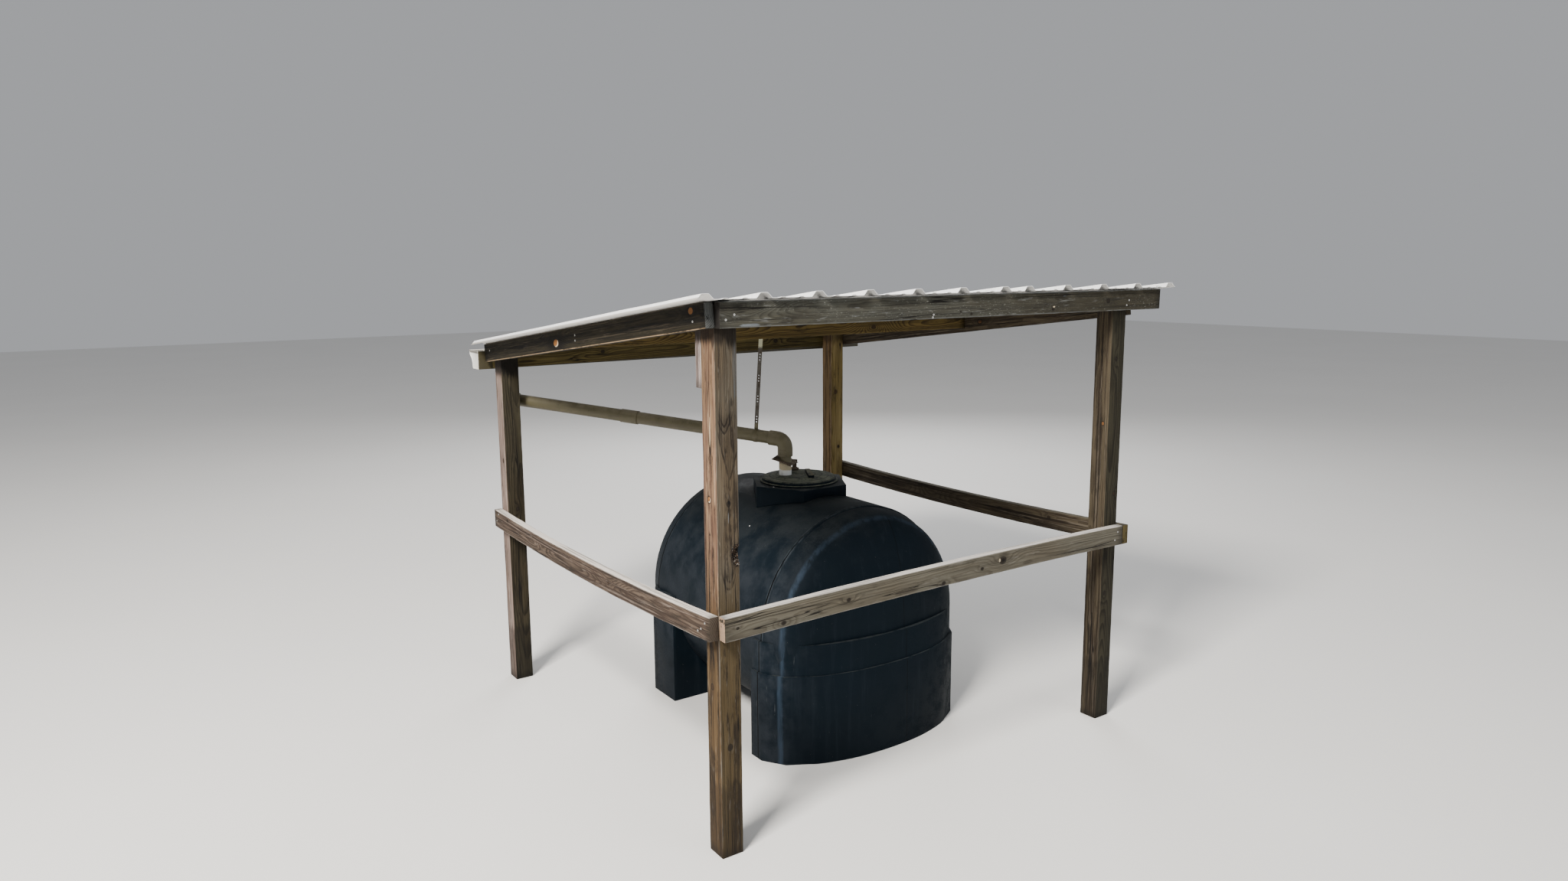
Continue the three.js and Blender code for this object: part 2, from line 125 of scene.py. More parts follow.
# shader graphs
class Wire:
    def __init__(self, graph, socket):
        self.graph = graph
        self.socket = socket

    def join(self, operation, first, second):
        return self.graph.node("Math", {"operation": operation}, {0: first, 1: second})

    def __add__(self, other):
        return self.join("ADD", self, other)

    def __radd__(self, other):
        return self.join("ADD", other, self)

    def __sub__(self, other):
        return self.join("SUBTRACT", self, other)

    def __rsub__(self, other):
        return self.join("SUBTRACT", other, self)

    def __mul__(self, other):
        return self.join("MULTIPLY", self, other)

    def __rmul__(self, other):
        return self.join("MULTIPLY", other, self)

    def __truediv__(self, other):
        return self.join("DIVIDE", self, other)

    def __pow__(self, other):
        return self.join("POWER", self, other)

    def __abs__(self):
        return self.graph.fold("ABSOLUTE", self)


class Graph:
    def __init__(self, name):
        self.material = bpy.data.materials.new(name)
        self.material.use_nodes = True
        self.tree = self.material.node_tree
        self.tree.nodes.clear()

    def node(self, kind, settings=None, inputs=None, output=0):
        made = self.tree.nodes.new("ShaderNode" + kind)
        for key, value in (settings or {}).items():
            setattr(made, key, value)
        for key, value in (inputs or {}).items():
            if isinstance(value, Wire):
                self.tree.links.new(value.socket, made.inputs[key])
            else:
                made.inputs[key].default_value = value
        return Wire(self, made.outputs[output]) if len(made.outputs) else None

    def fold(self, operation, value):
        return self.node("Math", {"operation": operation}, {0: value})

    def larger(self, first, second):
        return self.node("Math", {"operation": "MAXIMUM"}, {0: first, 1: second})

    def smooth(self, value, low, high, start=0.0, end=1.0):
        return self.node("MapRange", {"interpolation_type": "SMOOTHSTEP"},
                         {"Value": value, "From Min": low, "From Max": high,
                          "To Min": start, "To Max": end})

    def vector(self, x, y, z):
        return self.node("CombineXYZ", None, {0: x, 1: y, 2: z})

    def split(self, vector):
        parts = self.node("SeparateXYZ", None, {0: vector})
        outputs = parts.socket.node.outputs
        return [Wire(self, outputs[i]) for i in range(3)]

    def noise(self, vector, scale=1.0, detail=2.0, rough=0.5):
        return self.node("TexNoise", None, {"Vector": vector, "Scale": scale, "Detail": detail,
                                            "Roughness": rough})

    def mix(self, share, first, second):
        made = self.node("Mix", {"data_type": "RGBA"}, {0: share}, output=2)
        for key, value in ((6, first), (7, second)):
            if isinstance(value, Wire):
                self.tree.links.new(value.socket, made.socket.node.inputs[key])
            else:
                made.socket.node.inputs[key].default_value = (*value, 1)
        return made

    def bright(self, colour, amount):
        return self.node("VectorMath", {"operation": "SCALE"}, {0: colour, 3: amount})

    def spot(self):
        return self.node("TexCoord", output="Object")

    def facing(self):
        return self.split(self.node("NewGeometry", output="Normal"))

    def finish(self, colour, rough, height=None, strength=0.4, depth=0.002, **fixed):
        inputs = {"Base Color": colour, "Roughness": rough}
        inputs.update({key.replace("_", " "): value for key, value in fixed.items()})
        if height is not None:
            inputs["Normal"] = self.node("Bump", None, {"Height": height, "Strength": strength,
                                                        "Distance": depth})
        shader = self.node("BsdfPrincipled", None, inputs)
        self.node("OutputMaterial", None, {0: shader})
        return self.material


# modelling helpers
def nothingSelected():
    if bpy.context.object and bpy.context.object.mode != "OBJECT":
        bpy.ops.object.mode_set(mode="OBJECT")
    bpy.ops.object.select_all(action="DESELECT")


def only(piece):
    nothingSelected()
    piece.select_set(True)
    bpy.context.view_layer.objects.active = piece


def settle(piece):
    only(piece)
    bpy.ops.object.transform_apply(location=True, rotation=True, scale=True)


def pick(piece, kind, test):
    only(piece)
    bpy.ops.object.mode_set(mode="EDIT")
    bpy.ops.mesh.select_mode(type=kind)
    bpy.ops.mesh.select_all(action="DESELECT")
    bpy.ops.object.mode_set(mode="OBJECT")
    parts = {"VERT": piece.data.vertices, "EDGE": piece.data.edges,
             "FACE": piece.data.polygons}[kind]
    for part in parts:
        part.select = test(part)
    bpy.ops.object.mode_set(mode="EDIT")


def objectMode():
    bpy.ops.object.mode_set(mode="OBJECT")


def modify(piece, kind, **settings):
    only(piece)
    made = piece.modifiers.new(kind.lower(), kind)
    for key, value in settings.items():
        setattr(made, key, value)
    bpy.ops.object.modifier_apply(modifier=made.name)


def soften(piece, degrees):
    only(piece)
    bpy.ops.object.shade_smooth_by_angle(angle=math.radians(degrees))


def rounded(piece, width, segments=2, degrees=40):
    modify(piece, "BEVEL", width=width, segments=segments, limit_method="ANGLE",
           angle_limit=math.radians(degrees))


def named(piece, name):
    piece.name = name
    piece.data.name = name
    return piece


def placed(piece, place):
    piece.matrix_world = place
    settle(piece)


def cylinder(sides, radius, depth, **settings):
    nothingSelected()
    bpy.ops.mesh.primitive_cylinder_add(vertices=sides, radius=radius, depth=depth, **settings)
    return bpy.context.object


def cube():
    nothingSelected()
    bpy.ops.mesh.primitive_cube_add(size=1)
    return bpy.context.object


# faces that look outward are inset, each step with its thickness and depth
def inset(piece, outward, *steps):
    outward = Vector(outward)
    pick(piece, "FACE", lambda face: face.normal.dot(outward) > 0.9)
    for thickness, depth in steps:
        bpy.ops.mesh.inset(thickness=thickness, depth=depth)
    objectMode()


# one more loop of edges, in edit mode
def loopAt(place, way):
    bpy.ops.mesh.select_all(action="SELECT")
    bpy.ops.mesh.bisect(plane_co=place, plane_no=way)


def cutAway(piece, cutter):
    modify(piece, "BOOLEAN", object=cutter, operation="DIFFERENCE", solver="EXACT")
    bpy.data.objects.remove(cutter)


def clouds(name, wide, depth=2):
    texture = bpy.data.textures.new(name, "CLOUDS")
    texture.noise_scale = wide
    texture.noise_depth = depth
    return texture


def roughen(piece, texture, strength, middle, **settings):
    modify(piece, "DISPLACE", texture=texture, texture_coords="GLOBAL", strength=strength,
           mid_level=middle, **settings)


def dress(piece, material, slot, *nodes):
    piece.data.materials.clear()
    piece.data.materials.append(material)
    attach(piece, "root")
    if nodes:
        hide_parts(*nodes)


def mergedCopy(node, name):
    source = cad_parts[node]
    piece = bpy.data.objects.new(name, source.data.copy())
    piece.data.name = name
    bpy.context.scene.collection.objects.link(piece)
    only(piece)
    bpy.ops.mesh.customdata_custom_splitnormals_clear()
    bpy.ops.object.mode_set(mode="EDIT")
    bpy.ops.mesh.select_all(action="SELECT")
    bpy.ops.mesh.remove_doubles(threshold=0.00002)
    bpy.ops.mesh.dissolve_limited(angle_limit=math.radians(0.3))
    objectMode()
    return piece


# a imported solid, merged, rounded and smoothed in turn, takes its node's place
def remade(node, ending, material, slot, smooth=32, **edges):
    piece = mergedCopy(node, node + ending)
    if edges:
        rounded(piece, **edges)
    if smooth:
        soften(piece, smooth)
    dress(piece, material, slot, node)


def joined(pieces, name):
    nothingSelected()
    for piece in pieces:
        piece.select_set(True)
    bpy.context.view_layer.objects.active = pieces[0]
    bpy.ops.object.join()
    return named(pieces[0], name)


def copyOf(model, place, turn):
    piece = bpy.data.objects.new(model.name, model.data.copy())
    bpy.context.scene.collection.objects.link(piece)
    placed(piece, Matrix.Translation(place) @ turn)
    return piece


# timber: the tones of each kind of board and of its west face, whose tones are painted sunlight
# on that side over its grain, and how much of it is grey, stained and scarred
looks = {
    "header": {"pale": (0.058, 0.054, 0.04), "dark": (0.017, 0.016, 0.012),
               "grey": (0.051, 0.053, 0.046), "stain": (0.012, 0.011, 0.009),
               "bleach": (0.26, 0.27, 0.27), "sunlitWest": (0.03, 0.024, 0.017),
               "sunlitWestDark": (0.01, 0.008, 0.006), "sunlitWestPale": (0.06, 0.05, 0.04),
               "greyness": 0.8, "stains": 0.6, "scars": 0.25},
    "corner": {"pale": (0.085, 0.063, 0.039), "dark": (0.014, 0.009, 0.006),
               "grey": (0.076, 0.071, 0.057), "stain": (0.009, 0.0065, 0.005),
               "bleach": (0.22, 0.2, 0.17), "sunlitWest": (0.23, 0.142, 0.08),
               "sunlitWestDark": (0.085, 0.045, 0.03), "sunlitWestPale": (0.36, 0.25, 0.15),
               "greyness": 0.6, "stains": 0.85, "scars": 0.25},
    "brown": {"pale": (0.2, 0.145, 0.05), "dark": (0.05, 0.03, 0.01),
              "grey": (0.13, 0.105, 0.06), "stain": (0.018, 0.012, 0.007),
              "bleach": (0.25, 0.2, 0.14), "sunlitWest": (0.2, 0.13, 0.06),
              "sunlitWestDark": (0.05, 0.028, 0.013), "sunlitWestPale": (0.3, 0.22, 0.13),
              "greyness": 0.35, "stains": 0.6, "scars": 0.15},
    # dull: dark wood whose tones are also painted shade, for the boards that stand in shade
    "dull": {"pale": (0.031, 0.024, 0.013), "dark": (0.009, 0.007, 0.004),
             "grey": (0.028, 0.026, 0.017), "stain": (0.005, 0.004, 0.003),
             "bleach": (0.07, 0.06, 0.042), "sunlitWest": (0.075, 0.059, 0.037),
             "sunlitWestDark": (0.02, 0.014, 0.009), "sunlitWestPale": (0.13, 0.11, 0.08),
             "greyness": 0.5, "stains": 0.6, "scars": 0.15},
    "rake": {"pale": (0.024, 0.018, 0.008), "dark": (0.004, 0.003, 0.002),
             "grey": (0.018, 0.016, 0.01), "stain": (0.003, 0.0025, 0.002),
             "bleach": (0.18, 0.15, 0.11), "sunlitWest": (0.023, 0.0185, 0.0095),
             "sunlitWestDark": (0.0048, 0.004, 0.0027), "sunlitWestPale": (0.062, 0.049, 0.029),
             "greyness": 0.45, "stains": 0.5, "scars": 0.1},
    "rail": {"pale": (0.098, 0.085, 0.061), "dark": (0.022, 0.017, 0.012),
             "grey": (0.08, 0.077, 0.062), "stain": (0.013, 0.011, 0.008),
             "bleach": (0.6, 0.55, 0.5), "sunlitWest": (0.118, 0.085, 0.062),
             "sunlitWestDark": (0.034, 0.022, 0.016), "sunlitWestPale": (0.2, 0.155, 0.125),
             "greyness": 0.6, "stains": 0.5, "scars": 0.08},
    "golden": {"pale": (0.15, 0.1, 0.034), "dark": (0.03, 0.017, 0.007),
               "grey": (0.1, 0.075, 0.035), "stain": (0.013, 0.009, 0.005),
               "bleach": (0.2, 0.15, 0.09), "sunlitWest": (0.1, 0.07, 0.03),
               "sunlitWestDark": (0.03, 0.018, 0.008), "sunlitWestPale": (0.16, 0.12, 0.06),
               "greyness": 0.25, "stains": 0.45, "scars": 0.05},
    "block": {"pale": (0.2, 0.17, 0.14), "dark": (0.06, 0.048, 0.038),
              "grey": (0.2, 0.18, 0.17), "stain": (0.02, 0.016, 0.013),
              "bleach": (0.4, 0.36, 0.33), "sunlitWest": (0.3, 0.24, 0.22),
              "sunlitWestDark": (0.12, 0.09, 0.08), "sunlitWestPale": (0.5, 0.43, 0.4),
              "greyness": 0.6, "stains": 0.3, "scars": 0.2},
}
# a knot at least as fresh as creamFrom keeps a pale crescent
knotWood = {"fresh": (0.4, 0.17, 0.05), "old": (0.014, 0.01, 0.007), "cream": (0.8, 0.68, 0.5),
            "heart": (0.012, 0.008, 0.006), "bark": (0.006, 0.005, 0.004), "creamFrom": 0.6}
crackDark = (0.004, 0.003, 0.0025)
paleWood = (0.75, 0.62, 0.42)
scuffed = (0.17, 0.19, 0.21)
rubbed = (0.075, 0.08, 0.085)
black = (0.004, 0.003, 0.003)
crumbled = (0.2, 0.125, 0.075)


# timber in the board's own frame: u runs along it, v and w across it
class Timber:
    def __init__(self, name, board, middle, turn, size, seed):
        self.g = g = Graph(name)
        self.board = board
        self.seed = seed
        self.shift = seed * 3.7
        self.tone = {**looks[board["look"]], **board["own"]}
        self.halfU, self.halfV, self.halfW = (side / 2 for side in size)
        local = g.node("Mapping", {"vector_type": "TEXTURE"},
                       {"Vector": g.spot(), "Location": middle, "Rotation": turn.to_euler()})
        self.u, self.v, self.w = g.split(local)
        if board["sag"]:
            bow = 1 - self.u * self.u / self.halfU ** 2
            self.w = self.w + bow * (board["sag"] / 1000)
        self.normal = g.facing()
        self.ripple = self.noise(4, 20, 2, u=self.shift)
        self.fibre = self.noise(8, 430, 3, 0.6, u=self.shift)
        self.patch = self.noise(2.6, 9, 3, 0.6, v=self.shift)
        self.broad = self.noise(1.1, 52, 3, 0.6, u=seed)
        self.streak = self.noise(1.8, 120, 4, 0.65, u=seed)
        self.soot = self.noise(7, 26, 5, 0.72, w=self.shift)

    # noise with its own scale along the board and across it, moved so that no two boards match
    def noise(self, run, cross, detail, rough=0.5, **moved):
        parts = {"u": self.u * run, "v": self.v * cross, "w": self.w * cross}
        for part, shift in moved.items():
            parts[part] = parts[part] + shift
        return self.g.noise(self.g.vector(*parts.values()), 1, detail, rough)

    def height(self):
        return self.g.split(self.g.spot())[2]

    def lay(self, share, tint):
        self.colour = self.g.mix(share, self.colour, tint)

    # how far a point lies along the board, into the face and across it from a spot on the face
    def past(self, spot, way):
        along, v, w = self.u - spot[0], self.v - spot[1], self.w - spot[2]
        return (along, v, w) if way == "v" else (along, w, v)

    def onFace(self, depth):
        return self.g.smooth(abs(depth), 0.007, 0.005)

    # the tree's middle wanders along the board, which opens the rings into arches, and each knot
    # pushes them aside
    def grow(self, knots):
        g, board = self.g, self.board
        stray = board["stray"]
        wander = g.noise(g.vector(self.u * 1.3 + self.shift, self.seed, 0), 1, 2)
        lean = g.noise(g.vector(self.u * 0.9, self.seed + 5.5, self.shift), 1, 1)
        sideV = self.v - board["pith"][0] / 1000 + (wander - 0.5) * (0.09 * stray)
        sideW = self.w - board["pith"][1] / 1000 + (lean - 0.5) * (0.12 * stray)
        across = (sideV * sideV + sideW * sideW) ** 0.5 + self.ripple * (0.006 * stray)
        self.core = self.rim = self.halo = self.fresh = self.cream = 0.0
        for spot, way, r, age in knots:
            along, depth, beside = self.past(spot, way)
            depth = depth * 0.3
            sides = depth * depth + beside * beside
            around = (along * along * 0.13 + sides) ** 0.5
            swell = g.fold("EXPONENT", around * around * (-1 / (2.2 * r) ** 2))
            across = across + swell * (1.5 * r)
            if age >= 0:
                self.branch(along, beside, sides, around, r, age)
        year = g.fold("FRACT", across * board["rings"])
        self.late = g.smooth(year, 0.3, 0.88) * g.smooth(year, 1.0, 0.93)

    def branch(self, along, beside, sides, around, r, age):
        g = self.g
        away = (along * along * 0.6 + sides) ** 0.5 + (self.ripple - 0.5) * 0.9 * r
        inside = g.smooth(away, r * 1.02, r * 0.8)
        self.core = g.larger(self.core, inside)
        self.rim = g.larger(self.rim, g.smooth(away, r * 1.5, r * 0.98) - inside)
        self.halo = g.larger(self.halo, g.smooth(around, r * 2.6, r))
        self.fresh = g.larger(self.fresh, inside * age)
        if age >= knotWood["creamFrom"]:
            low, side = along - 0.35 * r, beside - 0.3 * r
            aside = (low * low * 0.6 + side * side) ** 0.5
            self.cream = g.larger(self.cream, inside * g.smooth(aside, 0.85 * r, r))

    def paintWood(self):
        g, tone, late = self.g, self.tone, self.late
        self.colour = g.mix(late * self.board["grain"], tone["pale"], tone["dark"])
        weathered = g.smooth(self.patch, 0.34, 0.62) * tone["greyness"] * (1 - late * 0.6)
        self.lay(weathered, tone["grey"])

    # the west face's tones are painted sunlight on that side, over bands and grain of their own
    def paintSunlitWestFace(self):
        g, tone = self.g, self.tone
        bands = g.smooth(self.broad + (self.streak - 0.5) * 0.5, 0.44, 0.54)
        pales = g.smooth(self.streak + (self.broad - 0.5) * 0.7, 0.56, 0.64)
        sunlitWest = g.mix(bands, tone["sunlitWest"], tone["sunlitWestDark"])
        sunlitWest = g.mix(self.late * self.board["westGrain"], sunlitWest, tone["sunlitWestDark"])
        sunlitWest = g.mix(pales * 0.5, sunlitWest, tone["sunlitWestPale"])
        sunlitWest = g.mix(g.smooth(self.fibre, 0.54, 0.66) * 0.4, sunlitWest, tone["sunlitWestDark"])
        self.lay(g.smooth(self.normal[0], -0.55, -0.85), sunlitWest)

    def paintWeather(self):
        g, board, tone = self.g, self.board, self.tone
        if "foot" in board:
            tint, low, high = board["foot"]
            self.lay(g.smooth(self.height() + (self.soot - 0.5) * 0.2, high, low) * 0.75, tint)
        if "far" in board:
            self.lay(g.smooth(self.u, -0.6 * self.halfU, self.halfU) * 0.65, board["far"])
        uneven = (self.streak - 0.5) * 1.9 + (self.broad - 0.5) * 1.6 + (self.patch - 0.5) * 0.9
        uneven = uneven * board["contrast"]
        self.colour = g.bright(self.colour, uneven + self.fibre * 0.7 + 0.65)
        stained = g.smooth(self.broad + (self.soot - 0.5) * 0.6, 0.53, 0.64) * tone["stains"]
        self.lay(stained * 0.8, tone["stain"])
        self.lay(g.smooth(self.soot, 0.56, 0.7) * 0.5, tone["stain"])
        scar = g.smooth(self.noise(9, 70, 3, 0.7, u=self.shift), 0.6, 0.7)
        self.lay(scar * tone["scars"], tone["bleach"])
        if "flecks" in board:
            fleck = g.smooth(self.noise(75, 330, 2, 0.6, u=self.shift), 0.62, 0.7)
            self.lay(fleck * g.smooth(self.patch, 0.42, 0.56) * 0.8, board["flecks"])

    def paintCracks(self):
        g = self.g
        line = abs(self.noise(0.8, 34, 2, u=self.shift) - 0.5)
        where = self.noise(1.9, 7, 1, w=self.shift)
        self.crack = g.smooth(line, 0.013, 0.004) * g.smooth(where, 0.44, 0.56)
        self.lay(self.crack * 0.92, crackDark)

    def paintKnots(self):
        g = self.g
        heart = g.mix(self.fresh, knotWood["old"], knotWood["fresh"])
        heart = g.mix(g.smooth(self.ripple, 0.5, 0.62) * 0.8, heart, knotWood["heart"])
        self.lay(self.halo * self.board["halo"], self.tone["dark"])
        self.lay(self.core * 0.95, heart)
        self.lay(self.cream * 0.7, knotWood["cream"])
        self.lay(self.rim * 0.85, knotWood["bark"])

    def paintArches(self, curves):
        g = self.g
        for spot, way, sense, wide, rise, power in curves:
            along, depth, beside = self.past(spot, way)
            ahead = along * sense
            beside = abs(beside + (self.ripple - 0.5) * 0.014)
            sweep = (g.larger(ahead, 0.0) / rise) ** (1 / power) * wide
            arm = g.smooth(abs(beside - sweep), 0.0045, 0.0015)
            bow = abs(ahead - (beside / wide) ** power * rise)
            arm = g.larger(arm * g.smooth(ahead, -0.002, 0.002), g.smooth(bow, 0.007, 0.003))
            fill = g.smooth(sweep - beside, 0, 0.004) * g.smooth(ahead, 0, 0.004) * 0.35
            arm = g.larger(arm, fill) * g.smooth(ahead, rise * 2, rise * 0.7)
            arm = arm * self.onFace(depth) * g.smooth(self.streak + self.soot, 0.8, 1.1)
            self.lay(arm * 0.85, self.tone["stain"])

    def paintMarks(self, spots):
        g = self.g
        for spot, way, length, width, tint in spots:
            along, depth, beside = self.past(spot, way)
            reach = along * along * (1 / length ** 2) + beside * beside * (1 / width ** 2)
            frayed = (self.streak - 0.5) + (self.soot - 0.5)
            shape = g.smooth(reach + frayed * (0.8 if tint == black else 3), 1, 0.5)
            shape = shape * self.onFace(depth)
            if tint != black:
                shape = shape * g.smooth(self.fibre, 0.36, 0.6)
            self.lay(shape * 0.85, tint)

    def paintRot(self):
        g = self.g
        hollow = [1.3 * side / 1000 for side in rottenKnot["size"]]
        nearby = g.node("Mapping", {"vector_type": "TEXTURE"},
                        {"Vector": g.spot(), "Location": atShelter(*rottenKnot["spot"]),
                         "Scale": hollow})
        crumbs = g.noise(g.spot(), 230, 3, 0.75)
        far = g.node("VectorMath", {"operation": "LENGTH"}, {0: nearby}, output=1)
        inside = g.mix(g.smooth(crumbs, 0.54, 0.62), black, crumbled)
        self.lay(g.smooth(far + (crumbs - 0.5) * 0.9, 1.0, 0.8), inside)

    def paintEdges(self):
        g, board, tone = self.g, self.board, self.tone
        fromEdge = g.larger(self.halfV - abs(self.v), self.halfW - abs(self.w))
        worn = g.smooth(fromEdge, 0.006, 0.001) * g.smooth(self.soot, 0.35, 0.6)
        self.lay(worn * 0.4, tone["bleach"])
        # top faces are painted pale: bleached wood with painted sunlight on the top
        bleachedSunlitTop = g.mix(g.smooth(self.streak, 0.5, 0.62) * 0.6, tone["bleach"], tone["grey"])
        self.lay(g.smooth(self.normal[2], 0.55, 0.9) * 0.95, bleachedSunlitTop)
        # a painted highlight along the lower edge of the west face
        if "lowEdgeHighlight" in board:
            edge = g.smooth(self.w + self.halfW, 0.0055, 0.003)
            edge = edge * g.smooth(self.normal[0], -0.4, -0.65)
            self.lay(edge * g.smooth(self.soot, 0.32, 0.5), board["lowEdgeHighlight"])

    def paintEnds(self):
        g, tone, soot = self.g, self.tone, self.soot
        fromEnd = self.halfU - abs(self.u)
        self.lay(g.smooth(fromEnd + (soot - 0.5) * 0.07, 0.05, 0) * 0.6, tone["stain"])
        near, far = self.board.get("tips", (tone["pale"], tone["pale"]))
        tip = g.mix(g.smooth(self.u, -0.01, 0.01), near, far)
        tip = g.bright(tip, 0.55 + self.late * 0.5 + soot * 0.4)
        tip = g.mix(g.smooth(soot, 0.55, 0.66), tip, tone["stain"])
        self.lay(g.smooth(fromEnd, 0.0016, 0.0007), tip)

    # dark zones between two heights: painted shade near the tops of the posts, stains at their feet
    def paintStainedAndShadedZones(self):
        g = self.g
        for low, high, share in self.board["stained"]:
            height = self.height() + (self.streak - 0.5) * 0.14
            zone = g.smooth(height, low, low + 0.03) * g.smooth(height, high, high - 0.03)
            self.lay(zone * share, self.tone["stain"])

    def finish(self):
        height = (self.late * 0.3 + self.fibre * 0.35 + self.streak * 0.5
                  - self.crack * 1.6 - self.rim * 0.8)
        return self.g.finish(self.colour, 0.74 + self.fibre * 0.2, height, 0.6, 0.002,
                             Specular_IOR_Level=0.18)


def timberMaterial(wood, knots, curves, spots):
    wood.grow(knots)
    wood.paintWood()
    wood.paintSunlitWestFace()
    wood.paintWeather()
    wood.paintCracks()
    wood.paintKnots()
    wood.paintArches(curves)
    wood.paintMarks(spots)
    if "rotten" in wood.board:
        wood.paintRot()
    wood.paintEdges()
    wood.paintEnds()
    wood.paintStainedAndShadedZones()
    return wood.finish()


# what a board has unless it says otherwise: its lean in radians, its sag at the middle in mm, its
# own tones, how far its rings stray, rings for each metre, how strong they are in general and on
# the west face, how uneven it is, how dark the wood around its knots is, and dark zones, each
# from one height to another in metres: painted shade near the top of a post, stains at its foot
plainBoard = {"lean": 0, "sag": 0, "own": {}, "stray": 1, "rings": 150, "grain": 0.85,
              "westGrain": 0.5, "contrast": 1, "halo": 0.25, "stained": []}
# each board: the way it runs, its look, its slot and the tree's middle beside the board's in mm;
# some have a height at their middle in mm, a tint at their foot that fades out between two
# heights in metres, a tint towards their far end, pale flecks, a painted highlight along the lower
# edge, a rotten knot or the colours of their two ends
boards = {
    "post_front_left": {"axis": "z", "look": "corner", "slot": "brown_timber", "pith": (12, -34),
                        "foot": ((0.048, 0.031, 0.01), 0.8, 1.15), "contrast": 0.95,
                        "grain": 0.4, "rotten": True,
                        "stained": [(1.84, 2.1, 0.85), (1.5, 1.87, 0.14), (-0.2, 0.3, 0.4)]},
    "post_front_right": {"axis": "z", "look": "dull", "slot": "grey_timber", "pith": (-20, 30),
                         "contrast": 0.6, "own": {"pale": (0.028, 0.024, 0.014)},
                         "stained": [(1.87, 2.1, 0.5), (-0.2, 0.3, 0.4)]},
    "post_back_left": {"axis": "z", "look": "dull", "slot": "brown_timber", "pith": (25, 18),
                       "own": {"sunlitWest": (0.27, 0.2, 0.17), "sunlitWestDark": (0.1, 0.066, 0.05),
                               "sunlitWestPale": (0.37, 0.31, 0.275)},
                       "stained": [(1.57, 2.0, 0.92), (-0.2, 0.3, 0.5)]},
    "post_back_right": {"axis": "z", "look": "brown", "slot": "brown_timber", "pith": (-32, -8),
                        "grain": 0.55,
                        "stained": [(1.64, 2.0, 0.6), (-0.2, 0.3, 0.5)]},
    "post_block": {"axis": "z", "look": "block", "slot": "grey_timber", "pith": (48, 10),
                   "stained": [(1.84, 2.1, 0.9)]},
    "front_header": {"axis": "x", "look": "header", "slot": "grey_timber", "pith": (50, 16),
                     "stray": 0.2, "grain": 0.6, "rings": 420, "far": (0.026, 0.02, 0.01),
                     "flecks": (0.2, 0.2, 0.18), "contrast": 0.7,
                     "tips": ((0.012, 0.01, 0.009), (0.1, 0.09, 0.07))},
    "back_header": {"axis": "x", "lean": -math.atan(16 / 2320), "look": "golden",
                    "own": {"pale": (0.078, 0.06, 0.02), "dark": (0.018, 0.012, 0.005),
                            "grey": (0.065, 0.052, 0.02), "stain": (0.012, 0.008, 0.003),
                            "bleach": (0.05, 0.037, 0.016)},
                    "slot": "brown_timber", "pith": (-44, -12)},
    "mid_purlin": {"axis": "x", "look": "golden", "slot": "brown_timber", "pith": (44, 4),
                   "rings": 290, "grain": 0.85,
                   "own": {"pale": (0.085, 0.058, 0.016), "dark": (0.018, 0.011, 0.004),
                           "grey": (0.07, 0.05, 0.018), "stain": (0.008, 0.006, 0.003),
                           "bleach": (0.11, 0.08, 0.03)}},
    "left_rake": {"axis": "y", "lean": -roofLean, "look": "rake", "slot": "grey_timber",
                  "pith": (46, 12), "lowEdgeHighlight": (0.24, 0.17, 0.1), "halo": 0.95,
                  "rings": 170, "grain": 0.9, "stray": 0.7,
                  "tips": ((0.066, 0.069, 0.067), (0.05, 0.045, 0.038))},
    "right_rake": {"axis": "y", "lean": -roofLean, "look": "dull", "slot": "brown_timber",
                   "pith": (-42, -16)},
    "left_rail": {"axis": "y", "lean": -math.atan(21 / 2142), "look": "rail", "sag": 26,
                  "height": 861, "slot": "grey_timber", "pith": (40, 10), "westGrain": 0.85,
                  "tips": ((0.05, 0.038, 0.028), (0.12, 0.1, 0.08))},
    "front_rail": {"axis": "x", "lean": -math.atan(13 / 2133), "look": "rail", "sag": -11,
                   "height": 878, "slot": "grey_timber", "pith": (66, -30), "stray": 0.35,
                   "rings": 210, "grain": 0.5, "contrast": 0.8,
                   "own": {"stain": (0.026, 0.022, 0.016), "bleach": (0.5, 0.47, 0.44),
                           "stains": 0.3},
                   "tips": ((0.3, 0.205, 0.14), (0.3, 0.25, 0.2))},
    "right_rail": {"axis": "y", "lean": -math.atan(17 / 2172), "look": "dull", "sag": 20,
                   "own": {"pale": (0.072, 0.055, 0.02), "grey": (0.052, 0.043, 0.019)},
                   "height": 876, "slot": "brown_timber", "pith": (-38, 12)},
}
